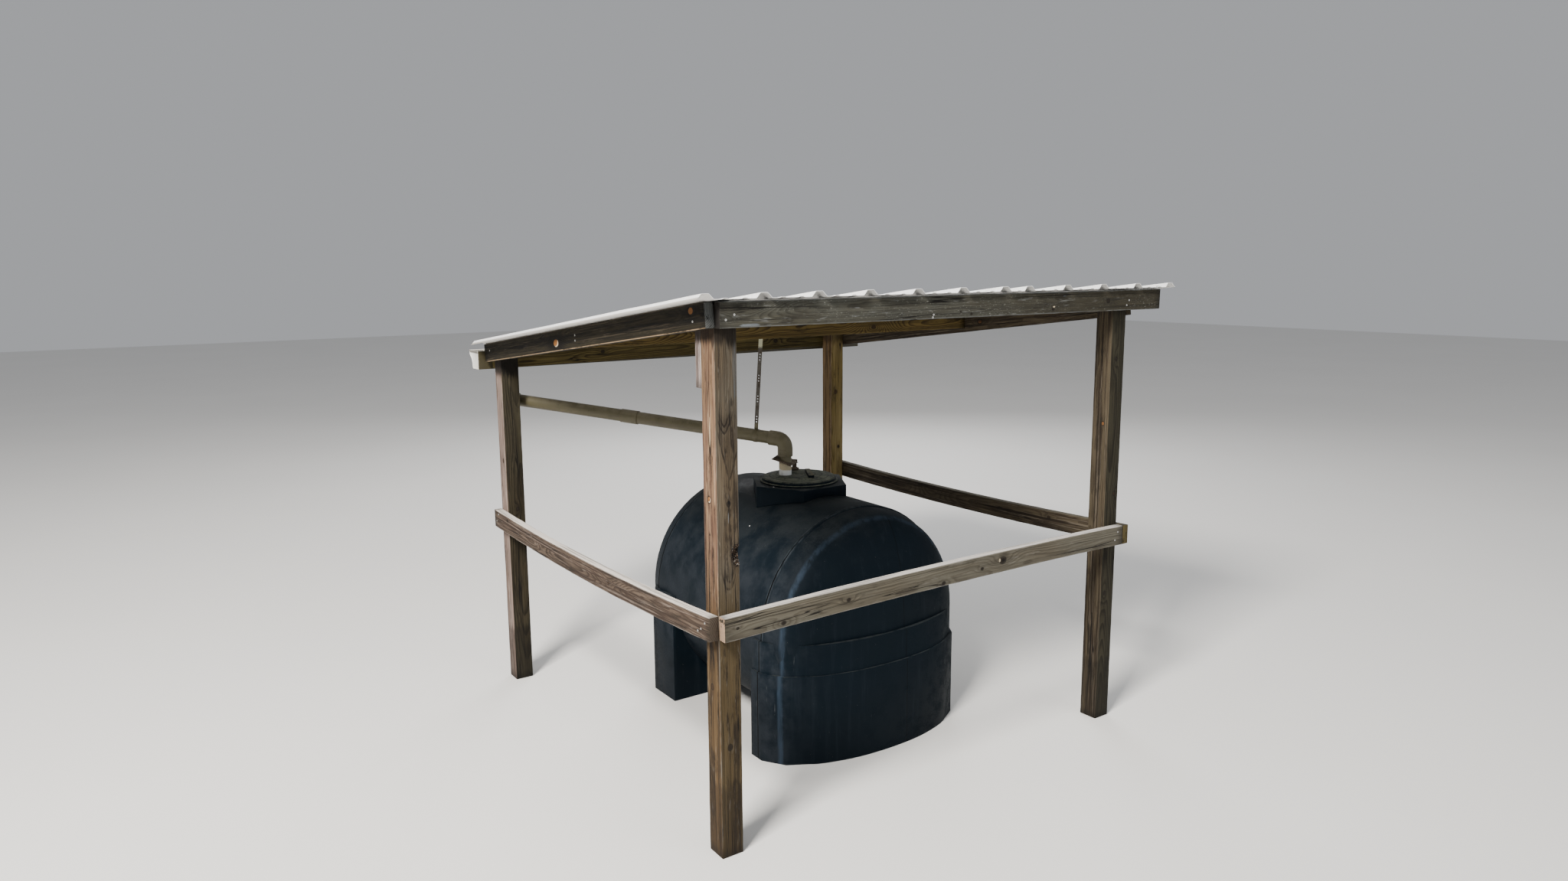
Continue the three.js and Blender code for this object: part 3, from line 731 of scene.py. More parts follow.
# knots: place on the shelter in mm, radius, the way the branch ran, and how fresh the wood is
# from 0 to 1; below 0 only the grain swirls
branches = {
    "post_front_left": [((48, 0, 1306), 7, "y", 0), ((0, 50, 1319), 9, "x", 0.6),
                        ((80, 0, 1120), 12, "y", 0),
                        ((0, 50, 1195), 3, "x", 0), ((0, 52, 640), 8, "x", 0.05),
                        ((40, 0, 420), 8, "y", 0), ((50, 89, 900), 9, "y", 0.1)],
    "post_front_right": [((2080, 0, 1690), 7, "y", 0), ((2110, 0, 1075), 9, "y", 0.1),
                         ((2072, 0, 610), 8, "y", 0), ((2045, 30, 1400), 7, "x", 0.3)],
    "post_back_left": [((0, 2080, 1150), 8, "x", 0.05), ((50, 2045, 900), 7, "y", 0)],
    "post_back_right": [((2080, 2045, 1350), 10, "y", 0.2), ((2100, 2045, 1010), 7, "y", 0)],
    "front_header": [((1085, -38, 1932), 3, "y", 0), ((1142, -38, 1921), 4, "y", 0),
                     ((1961, -38, 1952), 8, "y", 0), ((90, -38, 1995), 22, "y", -1),
                     ((1610, -38, 1926), 6, "y", 0)],
    "mid_purlin": [((1516, 1008, 1811), 24, "y", -1), ((1516, 1008, 1811), 9, "y", 0.12),
                   ((560, 1008, 1840), 12, "y", 0.2)],
    "back_header": [((1700, 2134, 1672), 9, "y", 0), ((590, 2134, 1666), 8, "y", 0)],
    "left_rake": [((-38, 1247, 1790), 20, "x", 0.7), ((-38, 86, 1963), 12, "x", 0.35),
                  ((-38, 1700, 1700), 16, "x", -1)],
    "right_rake": [((2134, 900, 1820), 12, "x", 0.2), ((2134, 1600, 1740), 9, "x", 0.1)],
    "front_rail": [((248, -38, 851), 8, "y", 0), ((543, -38, 880), 6.5, "y", 0),
                   ((1024, -38, 857), 7, "y", 0), ((1237, -38, 880), 5.5, "y", 0),
                   ((54, -38, 871), 4.5, "y", 0), ((1356, -38, 896), 13, "y", 0)],
    "left_rail": [((-38, 802, 839), 26, "x", -1), ((-38, 806, 839), 6, "x", 0.06),
                  ((-38, 1511, 838), 12, "x", -1), ((-38, 1960, 868), 6, "x", 0)],
    "right_rail": [((2134, 1250, 870), 18, "x", -1), ((2134, 400, 880), 8, "x", 0.05)],
}
# dark rings that close in an arch: the arch's tip in mm, the way its face looks, the way it
# opens along the board, its half width in mm, how far that is from the tip and how blunt it is
arches = {
    "post_front_left": [((36, 0, 1553), "y", 1, 20, 33, 1.5),
                        ((36, 0, 1576), "y", 1, 13, 26, 1.5),
                        ((56, 0, 1390), "y", 1, 40, 140, 1.1),
                        ((44, 0, 1005), "y", 1, 24, 45, 3), ((46, 0, 1030), "y", 1, 14, 30, 3),
                        ((0, 40, 1478), "x", 1, 8, 60, 2)],
    "front_header": [((118, -38, 1980), "y", -1, 21, 46, 3),
                     ((104, -38, 1983), "y", -1, 15, 38, 3),
                     ((91, -38, 1986), "y", -1, 10, 32, 3)],
    "left_rake": [((-38, 300, 1950), "x", -1, 22, 90, 2),
                  ((-38, 262, 1952), "x", -1, 13, 70, 2)],
    "mid_purlin": [((300, 1008, 1845), "y", 1, 20, 130, 2),
                   ((340, 1008, 1845), "y", 1, 14, 130, 2)],
}
# marks: the middle in mm, the way the face looks, half length and half width in mm, colour
marks = {
    "post_front_left": [((0, 38, 1548), "x", 62, 3, paleWood),
                        ((46, 0, 1262), "y", 26, 1.2, scuffed),
                        ((60, 0, 1142), "y", 17, 3, scuffed), ((49, 0, 1311), "y", 8, 6.5, black),
                        ((78, 0, 1790), "y", 130, 8, rubbed),
                        ((0, 51, 1318), "x", 5, 3, black)],
    "front_header": [((122, -38, 1917), "y", 46, 9, scuffed),
                     ((1615, -38, 1935), "y", 6, 4.5, paleWood),
                     ((1679, -38, 1978), "y", 14, 2.5, scuffed)],
    "left_rail": [((-38, 1542, 823), "x", 2, 13, black)],
    "front_rail": [((1358, -38, 896), "y", 10, 7, black), ((1338, -38, 899), "y", 5, 9, paleWood)],
}
boardFrames = {
    "x": Matrix.Identity(3),
    "y": Matrix(((0, -1, 0), (1, 0, 0), (0, 0, 1))),
    "z": Matrix(((0, 1, 0), (0, 0, 1), (1, 0, 0))),
}
boardWide = 0.089
# where a knot has rotted out of the post's corner: place in mm, size of the hollow in mm
rottenKnot = {"spot": (82, -3, 1122), "size": (25, 15, 36), "rough": 0.015, "crumb": 0.008}


def boardPlace(node, board):
    low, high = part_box(node)
    middle, span = (low + high) / 2, high - low
    swing = Matrix.Rotation(board["lean"], 3, "X" if board["axis"] == "y" else "Y")
    turn = (swing @ boardFrames[board["axis"]]).to_4x4()
    if board["axis"] == "z":
        return middle, turn, Vector((span.z, span.x, span.y))
    run, thick = (span.x, span.y) if board["axis"] == "x" else (span.y, span.x)
    if "height" in board:
        middle.z = corner.z + board["height"] / 1000
    tip = abs(board["lean"])
    length = (run - boardWide * math.sin(tip)) / math.cos(tip)
    return middle, turn, Vector((length, thick, boardWide))


def hollowOut(post):
    nothingSelected()
    bpy.ops.mesh.primitive_ico_sphere_add(subdivisions=5, radius=1)
    cutter = bpy.context.object
    placed(cutter, Matrix.Translation(atShelter(*rottenKnot["spot"]))
           @ Matrix.Diagonal((*(side / 1000 for side in rottenKnot["size"]), 1)))
    roughen(cutter, clouds("rot", rottenKnot["crumb"], 3), rottenKnot["rough"], 0.5)
    cutAway(post, cutter)


# in metres: the edge's radius, one step along the board, the play at its ends, and the waves
sawing = {"edge": 0.0028, "step": 0.03, "play": 0.01, "wave": 0.0022, "waveWide": 0.055}


def sagAt(x, board, length):
    return board["sag"] / 1000 * (1 - (2 * x / length) ** 2)


def sawnBoard(node, board, size, place, waves):
    piece = named(cube(), node + "_sawn")
    piece.scale = size
    settle(piece)
    rounded(piece, sawing["edge"], degrees=60)
    bpy.ops.object.mode_set(mode="EDIT")
    steps = max(2, round(size.x / sawing["step"]))
    for step in range(1, steps):
        loopAt(((step / steps - 0.5) * (size.x - sawing["play"]), 0, 0), (1, 0, 0))
    objectMode()
    for point in piece.data.vertices:
        point.co.z -= sagAt(point.co.x, board, size.x)
    placed(piece, place)
    roughen(piece, waves, sawing["wave"], 0.75)
    if "rotten" in board:
        hollowOut(piece)
    soften(piece, 40)
    return piece


def sawnBoards():
    waves = clouds("sawn", sawing["waveWide"])
    for seed, (node, given) in enumerate(boards.items()):
        board = {**plainBoard, **given}
        middle, turn, size = boardPlace(node, board)
        place = Matrix.Translation(middle) @ turn
        piece = sawnBoard(node, board, size, place, waves)
        toLocal = place.inverted()

        def localWay(way):
            direction = toLocal.to_3x3() @ Vector((way == "x", way == "y", 0))
            return "v" if abs(direction.y) > 0.7 else "w"

        def localSpot(spot):
            local = toLocal @ atShelter(*spot)
            local.z += sagAt(local.x, board, size.x)
            return local

        knots = [(localSpot(spot), localWay(way), r / 1000, age)
                 for spot, r, way, age in branches.get(node, [])]
        curves = [(localSpot(spot), localWay(way), sense, wide / 1000, rise / 1000, power)
                  for spot, way, sense, wide, rise, power in arches.get(node, [])]
        spots = [(localSpot(spot), localWay(way), length / 1000, width / 1000, tint)
                 for spot, way, length, width, tint in marks.get(node, [])]
        wood = Timber(node + "_timber", board, middle, turn, size, seed + 1)
        dress(piece, timberMaterial(wood, knots, curves, spots), board["slot"], node)


# screws in the boards, in mm, with the steps of the head's recess in metres
boardScrew = {"head": 4.1, "rise": 1.2, "sides": 14, "recess": ((0.001, 0.0005), (0.0014, -0.0009))}
# for each way that the heads look: where that face is, and each screw's place along it and its
# height, in mm on the shelter
screwFaces = {
    "-y": {"at": -38.3, "outward": (0, -1, 0), "turn": (90, "X"),
           "spots": [(24, 1936), (57, 1952), (944, 1924), (940, 1914), (2100, 1951), (2085, 1930),
                     (2098, 904), (2080, 868)]},
    "-x": {"at": -38.3, "outward": (-1, 0, 0), "turn": (-90, "Y"),
           "spots": [(30, 889), (58, 862), (80, 849), (2080, 878), (2110, 840), (72, 1928),
                     (1045, 1834), (1044, 1812), (2086, 1706)]},
    "x": {"at": 2172.3, "outward": (1, 0, 0), "turn": (90, "Y"),
          "spots": [(40, 905), (70, 862), (2080, 890), (2110, 850), (40, 1940), (75, 1905),
                    (1030, 1830), (1024, 1800), (2060, 1690), (2100, 1660)]},
}


def screwHeads():
    rise = boardScrew["rise"] / 1000
    model = named(cylinder(boardScrew["sides"], boardScrew["head"] / 1000, rise), "board_screw")
    inset(model, (0, 0, 1), *boardScrew["recess"])
    heads = []
    for way, face in screwFaces.items():
        degrees, axis = face["turn"]
        turn = Matrix.Rotation(math.radians(degrees), 4, axis)
        for along, high in face["spots"]:
            flat = (along, face["at"]) if way == "-y" else (face["at"], along)
            spot = atShelter(*flat, high) + Vector(face["outward"]) * rise * 0.1
            heads.append(copyOf(model, spot, turn))
    bpy.data.objects.remove(model)
    dress(joined(heads, "board_screws"), zincMaterial("screw_zinc"), "strap_steel")


zinc = {"dull": (0.3, 0.3, 0.29), "bright": (0.55, 0.55, 0.53), "rust": (0.16, 0.07, 0.03)}


def zincMaterial(name):
    g = Graph(name)
    spot = g.spot()
    mottle = g.noise(spot, 420, 3, 0.6)
    rust = g.smooth(g.noise(spot, 90, 4, 0.7), 0.55, 0.72)
    colour = g.mix(mottle, zinc["dull"], zinc["bright"])
    colour = g.mix(rust * 0.7, colour, zinc["rust"])
    return g.finish(colour, 0.38 + rust * 0.4, mottle, 0.2, 0.0004, Metallic=0.8)


# roof, in mm: each sheet with the place of its first rib and the number of its ribs
sheetPlan = [("roof_sheet_left", -62, 4), ("roof_sheet_middle", 854, 3),
             ("roof_sheet_right", 1450, 5)]
rib = {"pitch": 229, "foot": 32, "crown": 14, "height": 19, "smallFoot": 12, "smallCrown": 7,
       "smallHeight": 3, "lip": 4, "bend": 2.6, "thick": 1}
roof = {"front": -55, "back": 2190, "gap": 0.3, "steps": 24, "wave": 2.4, "waveWide": 210}
roofTone = {"dull": (0.9, 0.905, 0.9), "bright": (0.97, 0.97, 0.965), "wash": (0.5, 0.46, 0.4),
            "dust": (0.42, 0.37, 0.3), "under": (0.34, 0.33, 0.3), "edge": (0.3, 0.27, 0.23)}


# where a sheet is bent, and the middles of its wide and its small ribs
def ribLines(first, ribs, right):
    bends, crowns, smallCrowns = [], [], []
    for count in range(ribs):
        x = first + count * rib["pitch"]
        bends += [x - rib["foot"], x - rib["crown"], x + rib["crown"], x + rib["foot"]]
        crowns.append(x)
        for third in (1, 2):
            small = x + third * rib["pitch"] / 3
            if small + rib["smallFoot"] < right:
                bends += [small - rib["smallFoot"], small - rib["smallCrown"],
                          small + rib["smallCrown"], small + rib["smallFoot"]]
                smallCrowns.append(small)
    return bends, crowns, smallCrowns


def raiseRibs(sheet, middles, crown, height):
    pick(sheet, "VERT", lambda point: any(
        abs(point.co.x * 1000 - x) < crown + 0.5 for x in middles))
    bpy.ops.transform.translate(value=(0, 0, height / 1000))
    objectMode()


def bendSheet(sheet, left, right):
    mesh = sheet.data
    ends = (left / 1000 + 0.0005, right / 1000 - 0.0005)

    def isBend(edge):
        a, b = (mesh.vertices[i].co for i in edge.vertices)
        return abs(a.x - b.x) < 1e-5 and ends[0] < a.x < ends[1]

    pick(sheet, "EDGE", isBend)
    bpy.ops.mesh.bevel(offset=rib["bend"] / 1000, segments=2, affect="EDGES")
    objectMode()


def rolledSheet(node, first, ribs, left, right, length):
    nothingSelected()
    bpy.ops.mesh.primitive_plane_add(size=1)
    sheet = named(bpy.context.object, node + "_rolled")
    sheet.scale = ((right - left) / 1000, length / 1000, 1)
    sheet.location = ((left + right) / 2000, length / 2000, 0)
    settle(sheet)
    bends, crowns, smallCrowns = ribLines(first, ribs, right)
    bpy.ops.object.mode_set(mode="EDIT")
    for x in bends:
        loopAt((x / 1000, 0, 0), (1, 0, 0))
    objectMode()
    raiseRibs(sheet, crowns, rib["crown"], rib["height"])
    raiseRibs(sheet, smallCrowns, rib["smallCrown"], rib["smallHeight"])
    bendSheet(sheet, left, right)
    bpy.ops.object.mode_set(mode="EDIT")
    for step in range(1, roof["steps"]):
        loopAt((0, length / 1000 * step / roof["steps"], 0), (0, 1, 0))
    objectMode()
    return sheet


def roofSheets():
    waves = clouds("oilCan", roof["waveWide"] / 1000)
    front = roof["front"]
    length = (roof["back"] - front) / math.cos(roofLean)
    place = (Matrix.Translation(atShelter(0, front, roofUnder(front)))
             @ Matrix.Rotation(-roofLean, 4, "X"))
    for index, (node, first, ribs) in enumerate(sheetPlan):
        left = first - rib["foot"] - rib["lip"]
        right = first + (ribs - 1) * rib["pitch"] + rib["foot"] + rib["lip"]
        if index + 1 < len(sheetPlan):
            right = sheetPlan[index + 1][1] - rib["foot"] - rib["lip"] - roof["gap"]
        sheet = rolledSheet(node, first, ribs, left, right, length)
        roughen(sheet, waves, roof["wave"] / 1000, 0.35, direction="Z")
        modify(sheet, "SOLIDIFY", thickness=rib["thick"] / 1000, offset=1)
        placed(sheet, place)
        soften(sheet, 30)
        dress(sheet, roofMaterial(node + "_steel", seed=index), "roof_steel", node)


def roofMaterial(name, seed):
    g = Graph(name)
    spot = g.spot()
    x, y, z = g.split(spot)
    spangle = g.node("TexVoronoi", None, {"Vector": spot, "Scale": 110}, output="Color")
    grain = g.split(spangle)[0]
    drift = g.noise(g.vector(x * 3 + seed * 4.1, y * 0.8, z * 3), 1, 3)
    wash = g.noise(g.vector(x * 34, y * 1.4 + seed, 0), 1, 4, 0.6)
    dust = g.noise(g.vector(x * 5, y * 5, seed), 1, 5, 0.65)
    colour = g.mix(drift, roofTone["dull"], roofTone["bright"])
    colour = g.bright(colour, 0.94 + grain * 0.1)
    colour = g.mix(g.smooth(wash, 0.5, 0.72) * 0.22, colour, roofTone["wash"])
    colour = g.mix(g.smooth(dust, 0.56, 0.78) * 0.3, colour, roofTone["dust"])
    # the underside is painted darker: painted shade
    below = g.smooth(g.facing()[2], -0.3, -0.7)
    colour = g.mix(below * 0.5, colour, roofTone["under"])
    edge = g.smooth(x, corner.x - 0.085, corner.x - 0.09)
    colour = g.mix(edge * 0.85, colour, roofTone["edge"])
    return g.finish(colour, 0.34 + dust * 0.25, grain * 0.3 + dust, 0.12, 0.001, Metallic=0.1)


# screws in the roof, in mm, with the steps of the insets in metres; beyond the rightmost place a
# screw sits on the other side of its rib
roofScrew = {"washer": 7.5, "washerRise": 2.2, "head": 5.2, "headRise": 4.6, "beside": 42,
             "rows": (-19, 1027, 2153), "rightmost": 2300, "play": (3, 6), "above": 2.6,
             "washerInset": (0.0018, 0.0007), "headInset": (0.0008, 0.0005)}


def roofScrewModel():
    washer = cylinder(16, roofScrew["washer"] / 1000, roofScrew["washerRise"] / 1000)
    inset(washer, (0, 0, 1), roofScrew["washerInset"])
    middle = (roofScrew["washerRise"] + roofScrew["headRise"]) / 2000
    head = cylinder(6, roofScrew["head"] / 1000, roofScrew["headRise"] / 1000,
                    location=(0, 0, middle))
    inset(head, (0, 0, 1), roofScrew["headInset"])
    model = joined([washer, head], "roof_screw")
    settle(model)
    return model


def roofScrews():
    model = roofScrewModel()
    tilt = Matrix.Rotation(-roofLean, 4, "X")
    playX, playY = roofScrew["play"]
    above = roofScrew["above"] + roofScrew["washerRise"] / 2
    made = []
    random.seed(3)
    for node, first, ribs in sheetPlan:
        for count in range(ribs):
            x = first + count * rib["pitch"] + roofScrew["beside"]
            if x > roofScrew["rightmost"]:
                x -= 2 * roofScrew["beside"]
            for row in roofScrew["rows"]:
                spot = atShelter(x + random.uniform(-playX, playX),
                                 row + random.uniform(-playY, playY), 0)
                y = (spot.y - corner.y) * 1000
                spot.z = corner.z + (roofUnder(y) + above) / 1000
                spin = Matrix.Rotation(random.uniform(0, 3), 4, "Z")
                made.append(copyOf(model, spot, tilt @ spin))
    bpy.data.objects.remove(model)
    dress(joined(made, "roof_screws"), zincMaterial("roof_screw_zinc"), "roof_steel")


# gutter
gutterTone = {"dull": (0.72, 0.7, 0.66), "white": (0.86, 0.85, 0.82), "runs": (0.36, 0.31, 0.24),
              "low": (0.34, 0.3, 0.24), "speck": (0.22, 0.18, 0.14), "inside": (0.2, 0.17, 0.12),
              "wall": (0.02, 0.016, 0.007), "wallPale": (0.06, 0.05, 0.022),
              "rim": (0.06, 0.05, 0.035)}
capInsets = ((0.004, 0), (0.0015, -0.0012))


def gutterMaterial(name):
    g = Graph(name)
    spot = g.spot()
    x, y, z = g.split(spot)
    dust = g.noise(spot, 9, 5, 0.65)
    runs = g.noise(g.vector(x * 60, y * 60, z * 4), 1, 4, 0.65)
    speck = g.noise(spot, 160, 3, 0.7)
    colour = g.mix(dust, gutterTone["dull"], gutterTone["white"])
    colour = g.mix(g.smooth(runs, 0.48, 0.7) * 0.4, colour, gutterTone["runs"])
    low = g.smooth(z + (dust - 0.5) * 0.08, 1.66, 1.6)
    colour = g.mix(low * 0.35, colour, gutterTone["low"])
    colour = g.mix(g.smooth(speck, 0.66, 0.74) * 0.6, colour, gutterTone["speck"])
    normal = g.facing()
    inside = g.smooth(normal[2], 0.6, 0.95)
    colour = g.mix(inside * 0.45, colour, gutterTone["inside"])
    # the back wall is painted dark: grime with painted shade; the rim's left end is painted darker
    wall = g.smooth(y, corner.y + 2.1765, corner.y + 2.1745) * g.smooth(normal[1], -0.7, -0.9)
    colour = g.mix(wall, colour, g.mix(dust, gutterTone["wall"], gutterTone["wallPale"]))
    rim = g.smooth(z, 1.683, 1.688) * g.smooth(normal[0], -0.7, -0.9)
    colour = g.mix(rim * 0.85, colour, gutterTone["rim"])
    return g.finish(colour, 0.36 + dust * 0.25, dust + speck * 0.3, 0.15, 0.0012)


def gutterPieces():
    paint = gutterMaterial("gutter_paint")
    remade("gutter_trough", "_painted", paint, "gutter_white")
    for side, way in (("left", -1), ("right", 1)):
        node = "gutter_cap_" + side
        cap = mergedCopy(node, node + "_pressed")
        inset(cap, (way, 0, 0), *capInsets)
        rounded(cap, 0.0005, 1)
        soften(cap, 32)
        dress(cap, paint, "gutter_white", node)
    for number in range(1, 5):
        remade("gutter_hanger_%d" % number, "_strip", paint, "gutter_white", None, width=0.0006)
    remade("gutter_outlet", "_moulded", paint, "gutter_white")


# pipe
elbowHigh = atShelter(72, 2214, 1450)
elbowLow = atShelter(1021, 1063, 1291)
pipeRun = (elbowLow - elbowHigh).normalized()
pipeDown = Vector((0, 0, -1))
pipePlan = {"drop_pipe": pipeDown, "drop_elbow": pipeRun, "run_pipe_upper": pipeRun,
            "pipe_bell": pipeRun, "run_pipe_lower": pipeRun, "inlet_elbow": pipeRun,
            "inlet_pipe": pipeDown}
pipeTone = {"dark": (0.052, 0.044, 0.019), "pale": (0.098, 0.085, 0.043),
            "streak": (0.045, 0.034, 0.018), "dust": (0.17, 0.15, 0.105),
            "grime": (0.03, 0.023, 0.014), "stained": (0.34, 0.27, 0.15),
            "stainedPale": (0.52, 0.46, 0.32), "clean": (0.62, 0.62, 0.58),
            "cleanPale": (0.8, 0.82, 0.82)}


def pipeMaterial(name, along, inlet):
    g = Graph(name)
    turn = along.to_track_quat("Z", "Y").to_euler()
    local = g.node("Mapping", {"vector_type": "TEXTURE"},
                   {"Vector": g.spot(), "Location": elbowHigh, "Rotation": turn})
    x, y, z = g.split(local)
    streak = g.noise(g.vector(x * 70, y * 70, z * 3), 1, 4, 0.6)
    blotch = g.noise(g.spot(), 14, 4, 0.6)
    grime = g.noise(g.spot(), 55, 4, 0.7)
    colour = g.mix(blotch, pipeTone["dark"], pipeTone["pale"])
    colour = g.mix(g.smooth(streak, 0.5, 0.7) * 0.5, colour, pipeTone["streak"])
    dusty = g.smooth(g.facing()[2], 0.1, 0.9) * g.smooth(blotch, 0.3, 0.6)
    colour = g.mix(dusty * 0.45, colour, pipeTone["dust"])
    colour = g.mix(g.smooth(grime, 0.6, 0.72) * 0.55, colour, pipeTone["grime"])
    if inlet:
        height = g.split(g.spot())[2]
        stained = g.smooth(height + (grime - 0.5) * 0.02, 1.19, 1.17)
        paler = g.mix(blotch, pipeTone["stained"], pipeTone["stainedPale"])
        colour = g.mix(stained, colour, paler)
        clean = g.smooth(height + (blotch - 0.5) * 0.03, 1.153, 1.144)
        white = g.mix(streak, pipeTone["clean"], pipeTone["cleanPale"])
        colour = g.mix(clean, colour, white)
    return g.finish(colour, 0.45 + grime * 0.3, grime, 0.2, 0.0008)


def pipePieces():
    for node, along in pipePlan.items():
        plastic = pipeMaterial(node + "_plastic", along, node == "inlet_pipe")
        remade(node, "_moulded", plastic, "pipe_plastic", 38, width=0.0012, degrees=60)


# rubber sheet on the inlet pipe
rubber = {"dark": (0.025, 0.017, 0.01), "pale": (0.085, 0.06, 0.038), "dust": (0.16, 0.125, 0.09)}


def rubberMaterial(name):
    g = Graph(name)
    spot = g.spot()
    blotch = g.noise(spot, 26, 4, 0.6)
    fine = g.noise(spot, 300, 2)
    colour = g.mix(blotch, rubber["dark"], rubber["pale"])
    dusty = g.smooth(g.facing()[2], 0.4, 1) * g.smooth(blotch, 0.4, 0.65)
    colour = g.mix(dusty * 0.6, colour, rubber["dust"])
    return g.finish(colour, 0.7 + fine * 0.2, blotch + fine * 0.3, 0.4, 0.001)


# metres, a height in mm on the shelter, and turns in radians: a dip about the way across, a tilt
# about the way towards the gutter, and a swing about the pipe
shield = {"side": 0.1, "thick": 0.003, "hole": 0.0312, "curl": 0.006, "edge": 0.0006,
          "rings": 4, "height": 1193, "tilt": 0.28, "towards": (0.569, 0.822, 0), "dip": 0.2,
          "across": (0.822, -0.569, 0), "swing": 0.515}


# a round hole that widens ring by ring into a square sheet
def squareSheet(name):
    nothingSelected()
    bpy.ops.mesh.primitive_circle_add(vertices=40, radius=shield["hole"])
    piece = named(bpy.context.object, name)
    half = shield["side"] / 2
    bpy.ops.object.mode_set(mode="EDIT")
    bpy.ops.mesh.select_mode(type="EDGE")
    bpy.ops.mesh.select_all(action="SELECT")
    for ring in range(1, shield["rings"] + 1):
        bpy.ops.mesh.extrude_region_move()
        objectMode()
        for point in piece.data.vertices:
            if point.select:
                angle = math.atan2(point.co.y, point.co.x)
                square = half / max(abs(math.cos(angle)), abs(math.sin(angle)))
                r = shield["hole"] + (square - shield["hole"]) * ring / shield["rings"]
                point.co = Vector((math.cos(angle) * r, math.sin(angle) * r, 0))
        bpy.ops.object.mode_set(mode="EDIT")
    objectMode()
    return piece


def pipeShield():
    piece = squareSheet("pipe_shield_cut")
    half = shield["side"] / 2
    for point in piece.data.vertices:
        lift = max(point.co.length - half, 0) / half
        twist = point.co.x * point.co.y / half ** 2
        point.co.z = shield["curl"] * (twist * 0.5 - lift)
    only(piece)
    bpy.ops.object.mode_set(mode="EDIT")
    bpy.ops.mesh.select_all(action="SELECT")
    bpy.ops.mesh.normals_make_consistent(inside=False)
    objectMode()
    modify(piece, "SOLIDIFY", thickness=shield["thick"], offset=0)
    rounded(piece, shield["edge"], degrees=50)
    middle = Vector((elbowLow.x, elbowLow.y, corner.z + shield["height"] / 1000))
    placed(piece, Matrix.Translation(middle)
           @ Matrix.Rotation(shield["dip"], 4, Vector(shield["across"]))
           @ Matrix.Rotation(shield["tilt"], 4, Vector(shield["towards"]))
           @ Matrix.Rotation(shield["swing"], 4, "Z"))
    soften(piece, 40)
    dress(piece, rubberMaterial("shield_rubber"), "rubber_sheet", "pipe_shield")


# perforated strap, in metres: its holes come in groups, counted down from its top
strap = {"wide": 0.019, "thick": 0.0012, "hole": 0.0034, "groups": 4, "inGroup": 3,
         "first": 0.13, "group": 0.1044, "pitch": 0.0136, "back": 0.145, "pipe": 0.03015,
         "loose": 0.0008, "bolt": 0.0065, "boltLong": 0.006, "boltUp": 0.012, "boltOut": 0.003,
         "boltEdge": 0.0015}
# where its top is on the purlin, in mm on the shelter: the purlin's back face and the gap above
# it, and how far the strap's top is behind that face and below the purlin's top
strapTop = {"x": 886, "purlinBack": 1046, "gap": 0.6, "behind": 8.5, "below": 40}
strapTone = {"dark": (0.014, 0.011, 0.007), "pale": (0.032, 0.026, 0.016),
             "rust": (0.03, 0.017, 0.009), "top": (0.3, 0.3, 0.2), "foot": (0.075, 0.064, 0.032)}


def strapMaterial(name):
    g = Graph(name)
    spot = g.spot()
    mottle = g.noise(spot, 190, 3, 0.6)
    rust = g.smooth(g.noise(spot, 34, 4, 0.7), 0.45, 0.66)
    colour = g.mix(mottle, strapTone["dark"], strapTone["pale"])
    colour = g.mix(rust * 0.7, colour, strapTone["rust"])
    height = g.split(spot)[2] + (mottle - 0.5) * 0.02
    colour = g.mix(g.smooth(height, 1.73, 1.745), colour, strapTone["top"])
    colour = g.mix(g.smooth(height, 1.375, 1.36), colour, strapTone["foot"])
    return g.finish(colour, 0.5 + rust * 0.35, mottle, 0.25, 0.0004, Metallic=0.1)


def punchedStrip(start, top, turn, sideways):
    up = (top - start).normalized()
    strip = cube()
    placed(strip, Matrix.Translation((start + top) / 2) @ turn
           @ Matrix.Diagonal((strap["thick"], strap["wide"], (top - start).length, 1)))
    cutters = []
    for group in range(strap["groups"]):
        for hole in range(strap["inGroup"]):
            below = strap["first"] + strap["group"] * group + strap["pitch"] * hole
            cutter = cylinder(14, strap["hole"], 0.01)
            placed(cutter, Matrix.Translation(top - up * below) @ sideways)
            cutters.append(cutter)
    cutAway(strip, joined(cutters, "strap_holes"))
    return strip


def pipeBand(foot):
    band = cylinder(40, strap["pipe"] + strap["loose"], strap["wide"], end_fill_type="NOTHING")
    modify(band, "SOLIDIFY", thickness=strap["thick"], offset=1)
    placed(band, Matrix.Translation(foot)
           @ pipeRun.to_track_quat("Z", "Y").to_matrix().to_4x4())
    soften(band, 40)
    return band


def hangerStrap():
    foot = elbowLow - pipeRun * strap["back"]
    back = strapTop["purlinBack"]
    top = atShelter(strapTop["x"], back + strapTop["behind"],
                    roofUnder(back) - strapTop["gap"] - strapTop["below"])
    start = foot + Vector((0, 0, strap["pipe"] + 0.001))
    up = (top - start).normalized()
    face = pipeRun.cross(up).normalized()
    turn = Matrix((face, up.cross(face), up)).transposed().to_4x4()
    sideways = turn @ Matrix.Rotation(math.radians(90), 4, "Y")
    strip = punchedStrip(start, top, turn, sideways)
    band = pipeBand(foot)
    bolt = cylinder(24, strap["bolt"], strap["boltLong"])
    placed(bolt, Matrix.Translation(start + up * strap["boltUp"] - face * strap["boltOut"])
           @ sideways)
    rounded(bolt, strap["boltEdge"], degrees=50)
    piece = joined([strip, band, bolt], "hanger_strap_punched")
    dress(piece, strapMaterial("strap_zinc"), "strap_steel", "hanger_strap")


